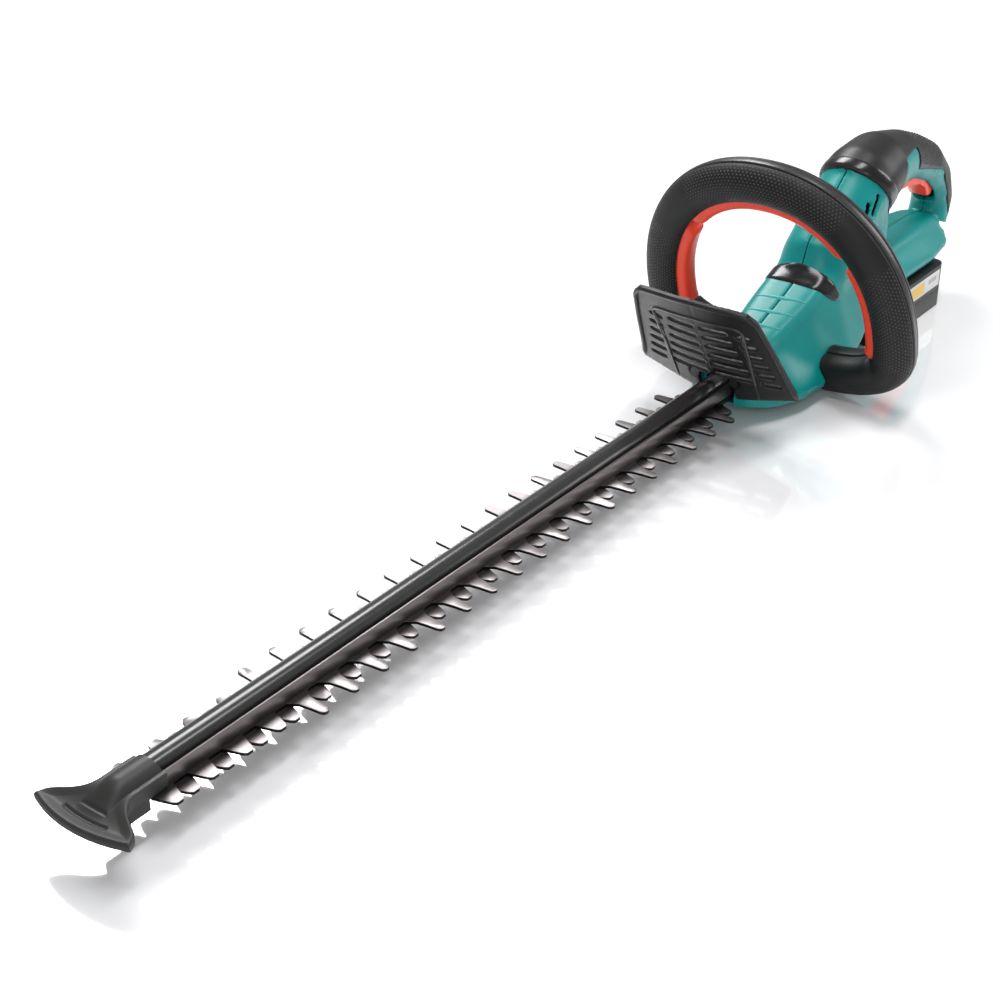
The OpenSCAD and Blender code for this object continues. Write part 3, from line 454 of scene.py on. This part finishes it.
def strike(target, start, direction):
    """Where a ray meets a surface: the nearest of three, so that one in the shells' seam is bridged."""
    best = None
    for shift in (0.0, SEAM_STEP, -SEAM_STEP):
        hit = target.ray_cast(start + Vector((0, shift * MM, 0)), direction)[0]
        if hit:
            depth = (hit - start).dot(direction)
            best = depth if best is None else min(best, depth)
    return best and start + direction * best


def walls_between(b, top, low):
    """Joins the outer edges of two grids of vertices."""
    rows, columns = len(top), len(top[0])
    rim = [(0, k) for k in range(columns)] + [(i, columns - 1) for i in range(1, rows)]
    rim += [(rows - 1, k) for k in range(columns - 2, -1, -1)] + [(i, 0) for i in range(rows - 2, 0, -1)]
    for (i, k), (j, m) in zip(rim, rim[1:] + rim[:1]):
        b.faces.new((top[j][m], top[i][k], low[i][k], low[j][m]))


def pad(name, target, grid, body, look, rise_mm, sink_mm=0.8):
    """Thin piece laid on a surface. grid holds rows of (start, direction, height share) rays."""
    top, bottom = [], []
    for row in grid:
        top_row, bottom_row = [], []
        for start, direction, share in row:
            hit = strike(target, start, direction)
            if hit is None:
                raise ValueError("a ray of {} misses the surface".format(name))
            top_row.append(hit - direction * (rise_mm * share) * MM)
            bottom_row.append(hit + direction * sink_mm * MM)
        top.append(top_row)
        bottom.append(bottom_row)
    mesh = bpy.data.meshes.new(name)
    b = bmesh.new()
    uv = b.loops.layers.uv.new("UVMap")
    rows, columns = len(grid), len(grid[0])
    vt = [[b.verts.new(p) for p in row] for row in top]
    vb = [[b.verts.new(p) for p in row] for row in bottom]
    for i in range(rows - 1):
        for k in range(columns - 1):
            face = b.faces.new((vt[i][k], vt[i][k + 1], vt[i + 1][k + 1], vt[i + 1][k]))
            for loop, (r, c) in zip(face.loops, ((i, k), (i, k + 1), (i + 1, k + 1), (i + 1, k))):
                loop[uv].uv = (c / (columns - 1), r / (rows - 1))
            b.faces.new((vb[i][k], vb[i + 1][k], vb[i + 1][k + 1], vb[i][k + 1]))
    walls_between(b, vt, vb)
    bmesh.ops.recalc_face_normals(b, faces=b.faces)
    b.to_mesh(mesh)
    b.free()
    smooth(mesh, 40)
    return piece(name, mesh, body, look)


def skin(rings, caps=True):
    """Mesh over rings of points, with a UV map of lengths along and round it, in units of UV_UNIT."""
    mesh = bpy.data.meshes.new("skin")
    b = bmesh.new()
    rows = [[b.verts.new(p) for p in ring] for ring in rings]
    uv = b.loops.layers.uv.new("UVMap")
    count = len(rings[0])
    along = [0.0]
    for near, far in zip(rings, rings[1:]):
        along.append(along[-1] + (far[0] - near[0]).length / (UV_UNIT * MM))
    around = [0.0]
    for k in range(count):
        around.append(around[-1] + (rings[0][(k + 1) % count] - rings[0][k]).length / (UV_UNIT * MM))
    for i in range(len(rows) - 1):
        for k in range(count):
            m = (k + 1) % count
            face = b.faces.new((rows[i][k], rows[i][m], rows[i + 1][m], rows[i + 1][k]))
            places = ((i, k), (i, k + 1), (i + 1, k + 1), (i + 1, k))
            for loop, (row, column) in zip(face.loops, places):
                loop[uv].uv = (along[row], around[column])
    if caps:
        b.faces.new(reversed(rows[0]))
        b.faces.new(rows[-1])
    bmesh.ops.recalc_face_normals(b, faces=b.faces)
    b.to_mesh(mesh)
    b.free()
    return mesh


# ---------- housing ----------

left_half = moulded("left_shell", 1.1, 60, 1)
right_half = moulded("right_shell", 1.1, 60, 1)
cover = moulded("grip_cover", 0.9, 70)
guard = moulded("hand_guard", 0.7, 30, 6)
bevelled("trigger", 2.2)
upper_case = bevelled("battery_upper_case", 0.9)
lower_case = bevelled("battery_lower_case", 1.6)
bevelled("battery_latch", 0.8)
bevelled("bar_channel", 0.25)
bevelled("upper_blade", 0.18, 50.0, 1)
bevelled("lower_blade", 0.18, 50.0, 1)


# ---------- loop handle ----------

LOOP_X, LOOP_Z = -540.0, 35.3
LOOP_LEAN = radians(16.3)
HALF_W, UP, DOWN = 95.2, 111.3, 45.1
TUBE_R, TUBE_BORE_R, ARM_ANGLE = 16.0, 13.4, 74.2
LEVER_LOW, LEVER_SPLIT, LEVER_SPLIT_HALF = 23.0, 39.0, 2.5
SLOT_END, SLOT_HALF, ARM_GAP_HALF = LEVER_LOW + 2.5, 8.6, 0.25


def loop_uw(angle):
    """Superellipse point in the loop's own plane: across and up."""
    power = 3.0 if angle < 0 or angle > 180 else 2.14
    reach = DOWN if angle < 0 or angle > 180 else UP
    c, s = cos(radians(angle)), sin(radians(angle))
    u = HALF_W * abs(c) ** (2 / power) * (1 if c >= 0 else -1)
    w = reach * abs(s) ** (2 / power) * (1 if s >= 0 else -1)
    return Vector((u, w))


def loop_frames(start, end, count):
    """Evenly spaced (point, outward normal, angle) along the loop from one angle to another."""
    fine = [loop_uw(start + (end - start) * i / 1500) for i in range(1501)]
    lengths = [0.0]
    for near, far in zip(fine, fine[1:]):
        lengths.append(lengths[-1] + (far - near).length)
    frames, j = [], 0
    for i in range(count):
        goal = lengths[-1] * i / (count - 1)
        while j < 1499 and lengths[j + 1] < goal:
            j += 1
        low, high = max(j - 8, 0), min(j + 9, 1500)
        tangent = (fine[high] - fine[low]).normalized()
        share = (goal - lengths[j]) / max(lengths[j + 1] - lengths[j], 1e-9)
        angle = start + (end - start) * (j + share) / 1500
        frames.append((fine[j].lerp(fine[j + 1], share), Vector((tangent.y, -tangent.x)), angle))
    return frames


def loop_place(point, normal, out, across):
    """Row-frame point at an outward and a forward distance from the tube's centre line."""
    p = point + normal * out
    return at(LOOP_X + p.y * sin(LOOP_LEAN) + across * cos(LOOP_LEAN), p.x,
              LOOP_Z + p.y * cos(LOOP_LEAN) - across * sin(LOOP_LEAN))


def tube_sweep(profile, start, end, count):
    """Sweeps (out, across) points along the loop. profile gives them from the angle."""
    return skin([[loop_place(p, n, out, across) for out, across in profile(angle)]
                 for p, n, angle in loop_frames(start, end, count)])


def past_slot(angle):
    """Degrees by which a place lies past the lever slot's end, on the arms."""
    return max(-SLOT_END - angle, angle - 180 - SLOT_END, 0)


def slot_edge(angle):
    """Where the tube's wall ends on its inner side: at the lever slot, or nearly closed on the arms."""
    half = SLOT_HALF if past_slot(angle) == 0 else ARM_GAP_HALF
    return 180 - degrees(asin(half / TUBE_R))


def arm_flat(angle, phi):
    """Share by which the arms' upper side is squared off, at a place round the tube."""
    share = min(past_slot(angle) / 6, 1.0)
    c, s = abs(cos(radians(phi))), abs(sin(radians(phi)))
    square = (c ** 3.6 + s ** 3.6) ** (-1 / 3.6)
    return 1 + (square - 1) * share * (1.0 if cos(radians(phi)) < 0 else 0.0)


def arc_profile(low, high, radius, steps, angle):
    """Points round the tube's section. 0 is outwards, 90 is to the front."""
    points = []
    for k in range(steps + 1):
        phi = low + (high - low) * k / steps
        r = radius * arm_flat(angle, phi)
        points.append((r * cos(radians(phi)), r * sin(radians(phi))))
    return points


def shell_profile(low, high, outer, inner, edge, angle):
    """Closed section of a tube wall with softened edges."""
    soft = degrees(edge / outer) * (1 if high > low else -1)
    walls = arc_profile(low + soft, high - soft, outer, 26, angle)
    inside = arc_profile(high, low, inner, 14, angle)
    start = arc_profile(low + soft * 0.2, low, outer - edge * 0.7, 1, angle)[:1]
    end = arc_profile(high - soft * 0.2, high, outer - edge * 0.7, 1, angle)[:1]
    return start + walls + end + inside


def paint_dots(made, spans):
    """Marks where the grip carries dots, by the place along the loop."""
    mesh = made.data
    layer = mesh.color_attributes.new("dots", "FLOAT_COLOR", "POINT")
    for index, vertex in enumerate(mesh.vertices):
        local = vertex.co - at(LOOP_X, 0, LOOP_Z)
        up = local.z / cos(LOOP_LEAN) / MM
        place = degrees(atan2(up / UP, local.y / MM / HALF_W)) % 360
        if place > 270:
            place -= 360
        value = 0.0
        for low, high in spans:
            value = max(value, min(max((place - low) / 3, 0), 1) * min(max((high - place) / 3, 0), 1))
        layer.data[index].color = (value, value, value, 1)


def loop_part(name, low, high, outer, edge, count, look):
    """One shell of the loop handle. low and high are its limits round the tube, or None for the slot."""
    def profile(angle):
        start = -slot_edge(angle) if low is None else low
        end = slot_edge(angle) if high is None else high
        return shell_profile(start, end, outer, TUBE_BORE_R, edge, angle)
    made = piece(name, tube_sweep(profile, -ARM_ANGLE, 180 + ARM_ANGLE, count), "tool", look)
    smooth(made.data, 50)
    return made


front = loop_part("loop_grip", 9, None, TUBE_R, 1.2, 330, "dots")
paint_dots(front, [(-12, 32), (52, 128), (148, 192)])
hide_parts("loop_front_shell")
loop_part("loop_band", -16, 7.5, TUBE_R + 0.1, 0.9, 260, "rim")
back = loop_part("loop_back", None, -18, TUBE_R, 1.0, 260, "black")
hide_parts("loop_rear_shell")


def lever(name, start, end):
    """Curved lever with a crowned face and rounded ends."""
    half, face, root = 7.9, -(TUBE_R + 5.5), -9.2
    profile = [(root, -half), (root, half), (face + 4, half), (face + 1.6, half - 0.9),
               (face + 0.4, half - 2.6), (face, half - 5), (face - 0.15, 0), (face, 5 - half),
               (face + 0.4, 2.6 - half), (face + 1.6, 0.9 - half), (face + 4, -half)]
    frames = loop_frames(start, end, 70)
    rings = []
    for i, (p, n, _) in enumerate(frames):
        edge = min(i, len(frames) - 1 - i)
        shrink = 1.0 if edge > 3 else (0.70, 0.86, 0.95, 0.99)[edge]
        rings.append([loop_place(p, n, root + (out - root) * shrink, across * (0.5 + 0.5 * shrink))
                      for out, across in profile])
    made = piece(name + "_face", skin(rings), name, "orange")
    smooth(made.data, 40)
    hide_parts(name)


lever("lever_left", -LEVER_LOW, LEVER_SPLIT - LEVER_SPLIT_HALF)
lever("lever_top", LEVER_SPLIT + LEVER_SPLIT_HALF, 180 - LEVER_SPLIT - LEVER_SPLIT_HALF)
lever("lever_right", 180 - LEVER_SPLIT + LEVER_SPLIT_HALF, 180 + LEVER_LOW)


# ---------- springs ----------


def spring(name):
    """Stands a spring's own shape in, with a mesh of its own."""
    made = piece(name + "_coil", copy_of(name), body_of[name])
    made.data.shade_smooth()
    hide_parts(name)
    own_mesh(made)


for name, angle in (("lever_left", 0), ("lever_top", 90), ("lever_right", 180)):
    point, normal, _ = loop_frames(angle - 1, angle + 1, 3)[1]
    spring(name + "_spring")
spring("trigger_spring")
spring("latch_spring")


# ---------- collar, grip lip, grip dots and streaks ---

housing = surface_of(left_half, right_half)
NECK = Vector((-584, 0, 32.5))
NECK_LEAN = radians(130)
NECK_AXIS = Vector((sin(NECK_LEAN), 0, cos(NECK_LEAN)))
NECK_UP = Vector((-NECK_AXIS.z, 0, NECK_AXIS.x))
NECK_CLEAR = 75
NECK_STEPS = 60
COLLAR_HALF_TURN, COLLAR_START, COLLAR_SWEEP, COLLAR_WIDTH = radians(78), -9, 6, 17
COLLAR_STEPS = 12
LIP_HALF_TURN, LIP_START, LIP_WIDTH = radians(118), -92.6, 9.5
LIP_STEPS = 6


def neck_ray(turn, along, share):
    """Ray towards the neck's axis from outside it, at a turn round it and a place along it."""
    out = Vector((NECK_UP.x * cos(turn), sin(turn), NECK_UP.z * cos(turn)))
    return at(*(NECK + NECK_AXIS * along + out * NECK_CLEAR)), -out, share


def collar_rows():
    """Rays for a visor-shaped band that narrows to a point on each side."""
    rows = []
    for i in range(COLLAR_STEPS + 1):
        row = []
        for k in range(NECK_STEPS + 1):
            side = -1 + 2 * k / NECK_STEPS
            width = COLLAR_WIDTH * sqrt(max(1 - abs(side) ** 2.6, 0.0))
            along = COLLAR_START + COLLAR_SWEEP * side ** 2 + (i / COLLAR_STEPS) * width
            edge = min(i, COLLAR_STEPS - i, k, NECK_STEPS - k)
            row.append(neck_ray(COLLAR_HALF_TURN * side, along, (0.0, 0.7, 1.0)[min(edge, 2)]))
        rows.append(row)
    return rows


collar = pad("collar_wrap", housing, collar_rows(), "tool", "gloss_black", 0.9)
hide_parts("collar_band")


def lip_rows():
    """Rays along the soft cover's front edge."""
    rows = []
    for i in range(LIP_STEPS + 1):
        along = LIP_START - LIP_WIDTH * i / LIP_STEPS
        share = 0.0 if i in (0, LIP_STEPS) else 1.0
        rows.append([neck_ray(LIP_HALF_TURN * (-1 + 2 * k / NECK_STEPS), along, share)
                     for k in range(NECK_STEPS + 1)])
    return rows


pad("grip_lip", surface_of(cover), lip_rows(), "tool", "gloss_black", 0.5)

GRIP_START, GRIP_END = Vector((-716, 0, 104)), Vector((-772, 0, 84))
GRIP_CLEAR, GRIP_REACH = 45, 0.04
DOME_ROWS, DOMES_IN_ROW, DOME_STEP, DOME_SPREAD = 19, 31, 3.1, 184
DOME_SIDES, DOME_BASE_R, DOME_TOP_R, DOME_SINK, DOME_RISE = 6, 0.75, 0.4, 0.15, 0.35


def grip_dots():
    """Small domes over the rear grip's back, in staggered rows."""
    along = (GRIP_END - GRIP_START).normalized()
    up = Vector((along.z, 0, -along.x))
    skin_of_grip = surface_of(cover)
    mesh = bpy.data.meshes.new("grip_dots")
    b = bmesh.new()
    for i in range(DOME_ROWS):
        for k in range(DOMES_IN_ROW):
            turn = radians(-DOME_SPREAD / 2 + DOME_SPREAD * (k + 0.5 * (i % 2)) / DOMES_IN_ROW)
            out = up * cos(turn) + Vector((0, sin(turn), 0))
            start = at(*(GRIP_START + along * (i * DOME_STEP) + out * GRIP_CLEAR))
            hit, normal, _, _ = skin_of_grip.ray_cast(start, -out, GRIP_REACH)
            if hit is None:
                continue
            side = normal.cross(along).normalized()
            front = side.cross(normal)
            turns = [2 * pi * n / DOME_SIDES for n in range(DOME_SIDES)]
            spokes = [side * cos(a) + front * sin(a) for a in turns]
            low = [b.verts.new(hit - normal * DOME_SINK * MM + s * DOME_BASE_R * MM) for s in spokes]
            high = [b.verts.new(hit + normal * DOME_RISE * MM + s * DOME_TOP_R * MM) for s in spokes]
            for n in range(DOME_SIDES):
                after = (n + 1) % DOME_SIDES
                b.faces.new((low[n], low[after], high[after], high[n]))
            b.faces.new(high)
            b.faces.new(reversed(low))
    b.to_mesh(mesh)
    b.free()
    mesh.shade_smooth()
    return mesh


piece("rear_grip_dots", grip_dots(), "tool", "rim")

DOWN_RAY = Vector((0, 0, -1))
RIB_START, RIB_STEP, RIB_LENGTH, RIB_SHORTENING = -543, 16, 40, 3
RIB_WIDTH, RIB_SLANT, ABOVE_HOUSING = 4.2, 2.5, 120


def grip_rib(index):
    """Lens-shaped raised rib on the housing's top face, running across it."""
    length = RIB_LENGTH - index * RIB_SHORTENING
    rows = []
    for i in range(7):
        v = -1 + 2 * i / 6
        row = []
        for k in range(25):
            u = -1 + 2 * k / 24
            x = RIB_START + index * RIB_STEP + v * RIB_WIDTH / 2 * (1 - u * u) - RIB_SLANT * u
            row.append((at(x, u * length / 2, ABOVE_HOUSING), DOWN_RAY, (1 - v * v) * (1 - u * u)))
        rows.append(row)
    pad("grip_rib_{}".format(index), housing, rows, "tool", "teal_light", 0.9, 0.3)


for index in range(4):
    grip_rib(index)

# ---------- hand guard ----------

GUARD_X, GUARD_LEAN, GUARD_SWEEP = -459.0, radians(30), radians(8)
GUARD_CLEAR, GUARD_REACH = 30, 0.045
GUARD_NORMAL = Vector((cos(GUARD_LEAN), 0, -sin(GUARD_LEAN)))
BEND_HALF = 36.0

# Rounds off the guard's bend
for vertex in guard.data.vertices:
    across = abs(vertex.co.y) / MM
    if across < BEND_HALF:
        easing = (across * across / (2 * BEND_HALF) + BEND_HALF / 2 - across) * sin(GUARD_SWEEP)
        vertex.co -= GUARD_NORMAL * easing * MM
guard_face = surface_of(guard)


def on_guard(across, up, sink):
    """Place on the guard's front face, or None past its edge."""
    start = at(GUARD_X + GUARD_CLEAR * cos(GUARD_LEAN) + up * sin(GUARD_LEAN), across * cos(GUARD_SWEEP),
               -GUARD_CLEAR * sin(GUARD_LEAN) + up * cos(GUARD_LEAN))
    hit = guard_face.ray_cast(start, -GUARD_NORMAL, GUARD_REACH)[0]
    return hit and hit - GUARD_NORMAL * sink * MM


def bead(name, path, radius, sink, look="black", closed=False):
    """Rounded bead along a path of (across, up) points on the guard's front face."""
    points = [p for p in (on_guard(a, u, sink) for a, u in path) if p]
    rings = []
    count = len(points)
    for i in range(count):
        before = points[(i - 1) % count] if closed or i else points[0]
        after = points[(i + 1) % count] if closed or i < count - 1 else points[-1]
        side = (after - before).normalized().cross(GUARD_NORMAL).normalized()
        taper = 1.0 if closed else min(1.0, 0.35 + 0.4 * min(i, count - 1 - i))
        rings.append([points[i] + (side * cos(t) + GUARD_NORMAL * sin(t)) * radius * taper * MM
                      for t in (2 * pi * k / 10 for k in range(10))])
    if closed:
        rings.append(rings[0])
    made = piece(name, skin(rings, caps=not closed), "tool", look)
    smooth(made.data, 60)
    return made


def rounded(points, radius, steps=6):
    """Polyline with its inner corners rounded."""
    out = [points[0]]
    for a, b, c in zip(points, points[1:], points[2:]):
        a, b, c = Vector(a), Vector(b), Vector(c)
        reach = min(radius, (a - b).length * 0.45, (c - b).length * 0.45)
        start, end = b + (a - b).normalized() * reach, b + (c - b).normalized() * reach
        for k in range(steps + 1):
            t = k / steps
            out.append(tuple(start.lerp(b, t).lerp(b.lerp(end, t), t)))
    return out + [points[-1]]


def fine(points, step=3.0):
    """Adds points so that no stretch is longer than the step."""
    out = []
    for a, b in zip(points, points[1:]):
        a, b = Vector(a), Vector(b)
        parts = max(1, int((b - a).length / step))
        out += [tuple(a.lerp(b, k / parts)) for k in range(parts)]
    return out + [tuple(points[-1])]


edge = [(-65, -7), (-66, 0), (-60, 25), (-54.3, 60), (-48.5, 88.5), (-42.5, 95.3), (-30, 98),
        (0, 99.8), (30, 98), (42.5, 95.3), (48.5, 88.5), (54.3, 60), (60, 25), (66, 0), (65, -7)]
bead("guard_rim", fine(rounded(edge, 7)), 2.1, 0.6)
panel = [(-33.5, 15), (-36.5, 78), (-30, 81.5), (0, 83), (30, 81.5), (36.5, 78), (33.5, 15)]
bead("guard_panel_edge", fine(rounded(panel, 6)), 1.2, 0.3, "rim")
for side in (-1, 1):
    rib = [(side * 35.8, 79), (side * 33.4, 60), (side * 33.4, 8), (side * 34.4, -9)]
    bead("guard_rib_{}".format("left" if side > 0 else "right"), fine(rounded(rib, 6)), 1.3, 0.5)
    for row in range(6):
        up = 20.7 + 10 * row
        long_end = 33 - 2 * row
        bead("slot_lip_long_{}_{}".format(row, side + 1),
             fine([(side * 2.0, up), (side * long_end, up)]), 0.8, 0.1, "rim")
        up = 18.7 + 10 * row
        bead("slot_lip_short_{}_{}".format(row, side + 1),
             fine([(side * (39.4 - 2 * row), up), (side * (52.6 - 2.6 * row), up)]), 0.75, 0.1, "rim")

# ---------- tip guard ----------

FAN_LOW, FAN_HIGH = 0.8, 5.0
FAN_CENTRE, FAN_START, FAN_R = 62.0, 36.4, 88.5
HOOD_START, HOOD_END = 118.5, 142.0
HOOD_R, HOOD_Z, HOOD_SIDE_Z = 10.8, 4.5, 9.8
SLEEVE_HALF, FLARE_START, FLARE_RUN, FLARE_ANGLE = 11.8, 58.0, 26.0, 23.0
TUCK_START, TUCK_Z, TUCK_END, TUCK_HALF, TUCK_LOW, TUCK_HIGH = 103, 5.4, 124.5, 9.0, 1.2, 4.0


def eased(value):
    value = min(max(value, 0.0), 1.0)
    return value * value * (3 - 2 * value)


def fan_top(r, v, half):
    """Height of the fan's top: a dish inside a raised rim, with two curved grooves, under the hood."""
    rim = min(FAN_R - r, (1 - abs(v)) * radians(half) * r)
    roll = max(1 - rim / 1.6, 0.0)
    dish = 1.2 * eased((rim - 1.2) / 7.0)
    z = FAN_HIGH + 0.9 - dish - 1.5 * roll * roll
    for line, reach in ((73.0, 0.40), (80.0, 0.52)):
        end = eased((reach - abs(v)) / 0.05)
        z -= 0.9 * end * max(1 - ((r - line) / 1.3) ** 2, 0.0)
    return z, roll


def fan_mesh():
    """Sleeve over the bar's end that runs out into the fan."""
    across, deep = 112, 100
    mesh = bpy.data.meshes.new("fan")
    b = bmesh.new()
    rows_top, rows_low = [], []
    for i in range(deep + 1):
        r = FAN_START + (FAN_R - FAN_START) * i / deep
        flare = eased((r - FLARE_START) / FLARE_RUN)
        half = degrees(asin(SLEEVE_HALF / r)) * (1 - flare) + FLARE_ANGLE * flare
        top_row, low_row = [], []
        for k in range(across + 1):
            v = sin(-pi / 2 + pi * k / across)
            theta = radians(half * v)
            x, y = FAN_CENTRE + r * cos(theta), r * sin(theta)
            z, roll = fan_top(r, v, half)
            hood = max(HOOD_Z + sqrt(max(HOOD_R ** 2 - y * y, 0.0)), HOOD_SIDE_Z)
            share = eased((HOOD_END - x) / (HOOD_END - HOOD_START))
            top_row.append(b.verts.new(at(x, y, max(z, z + (hood - z) * share))))
            low_row.append(b.verts.new(at(x, y, FAN_LOW + 0.8 * roll)))
        rows_top.append(top_row)
        rows_low.append(low_row)
    for i in range(deep):
        for k in range(across):
            b.faces.new((rows_top[i][k], rows_top[i][k + 1], rows_top[i + 1][k + 1], rows_top[i + 1][k]))
            b.faces.new((rows_low[i][k], rows_low[i + 1][k], rows_low[i + 1][k + 1], rows_low[i][k + 1]))
    walls_between(b, rows_top, rows_low)
    bmesh.ops.recalc_face_normals(b, faces=b.faces)
    b.to_mesh(mesh)
    b.free()
    return mesh


tip_fan = piece("tip_fan", fan_mesh(), "tool", "tip")
smooth(tip_fan.data, 50)
tip_body = bevelled("tip_guard", 0.8)
tip_body.data.materials[0] = looks["tip"]

# The body keeps its sleeve, and its own fan is tucked into the modelled one
for vertex in tip_body.data.vertices:
    place = (vertex.co - at(0, 0, 0)) / MM
    if place.x > TUCK_START and place.z > TUCK_Z:
        vertex.co = at(place.x, place.y, TUCK_Z)
    if place.x > TUCK_END:
        vertex.co = at(TUCK_END, max(min(place.y, TUCK_HALF), -TUCK_HALF),
                       min(max(place.z, TUCK_LOW), TUCK_HIGH))

# ---------- battery ----------

LABEL_X, LABEL_LENGTH, LABEL_TOP, LABEL_HEIGHT, BESIDE_BATTERY = -747, 92, 8.4, 13.5, 60
label_rows = [[(at(LABEL_X + LABEL_LENGTH * k / 24, BESIDE_BATTERY, LABEL_TOP - LABEL_HEIGHT * i / 4),
                Vector((0, -1, 0)), 1.0) for k in range(25)] for i in range(5)]
battery_side = surface_of(upper_case, lower_case)
pad("battery_side_label", battery_side, label_rows, "battery", "label", 0.25, 0.4)

# ---------- floor, light and camera ----------


FLOOR_SIZE, FLOOR_DROP = 12, 0.0004


def floor():
    """Pale, slightly glossy studio floor, just under the battery."""
    bpy.ops.mesh.primitive_grid_add(x_subdivisions=8, y_subdivisions=8, size=FLOOR_SIZE)
    made = bpy.context.object
    made.name = "floor"
    m = Material("floor", 0.08, Specular_IOR_Level=1.0, IOR=1.9)
    m.color(m.mix(m.ramp(m.noise(2.0), 0.0, 0.3), (0.92, 0.92, 0.93), (0.90, 0.90, 0.91)))
    m.roughness(m.ramp(m.noise(6.0), 0.05, 0.09))
    m.bump(m.noise(400.0), 0.02, 0.1)
    made.data.materials.append(m.material)
    made.location.z = -FLOOR_DROP


floor()

CAMERA_PLACE = Vector((0.904, 0.5768, 0.59975))
CAMERA_AZIMUTH = radians(126.91)
CAMERA_ELEVATION = radians(29.66)
CAMERA_LENS, CAMERA_SENSOR = 65.1, 36
back_vector = Vector((sin(CAMERA_AZIMUTH) * cos(CAMERA_ELEVATION),
                      -cos(CAMERA_AZIMUTH) * cos(CAMERA_ELEVATION), sin(CAMERA_ELEVATION)))
camera_data = bpy.data.cameras.new("camera")
camera_data.lens = CAMERA_LENS
camera_data.sensor_width = CAMERA_SENSOR
camera = bpy.data.objects.new("camera", camera_data)
camera.location = CAMERA_PLACE
camera.rotation_euler = back_vector.to_track_quat("Z", "Y").to_euler()
bpy.context.scene.collection.objects.link(camera)
bpy.context.scene.camera = camera


def area_light(name, place, target, size, power):
    """Rectangular light at a place, facing a target."""
    data = bpy.data.lights.new(name, "AREA")
    data.shape = "RECTANGLE"
    data.size, data.size_y = size
    data.energy = power
    made = bpy.data.objects.new(name, data)
    made.location = place
    made.rotation_euler = (Vector(place) - Vector(target)).to_track_quat("Z", "Y").to_euler()
    bpy.context.scene.collection.objects.link(made)


MIDDLE = (-0.1, 0.0, 0.05)
area_light("key", (-0.9, -1.3, 1.7), MIDDLE, (1.1, 0.7), 40)
area_light("fill", (1.6, 1.2, 1.2), MIDDLE, (0.9, 0.7), 12)
area_light("top", (-0.1, 0.2, 2.0), MIDDLE, (1.8, 0.35), 26)
area_light("rim", (-1.5, 0.9, 0.8), MIDDLE, (0.5, 0.9), 9)

world = bpy.data.worlds.new("studio")
world.use_nodes = True
world.node_tree.nodes["Background"].inputs[0].default_value = (0.93, 0.94, 0.96, 1)
world.node_tree.nodes["Background"].inputs[1].default_value = 0.42
bpy.context.scene.world = world
bpy.context.scene.view_settings.view_transform = "Standard"
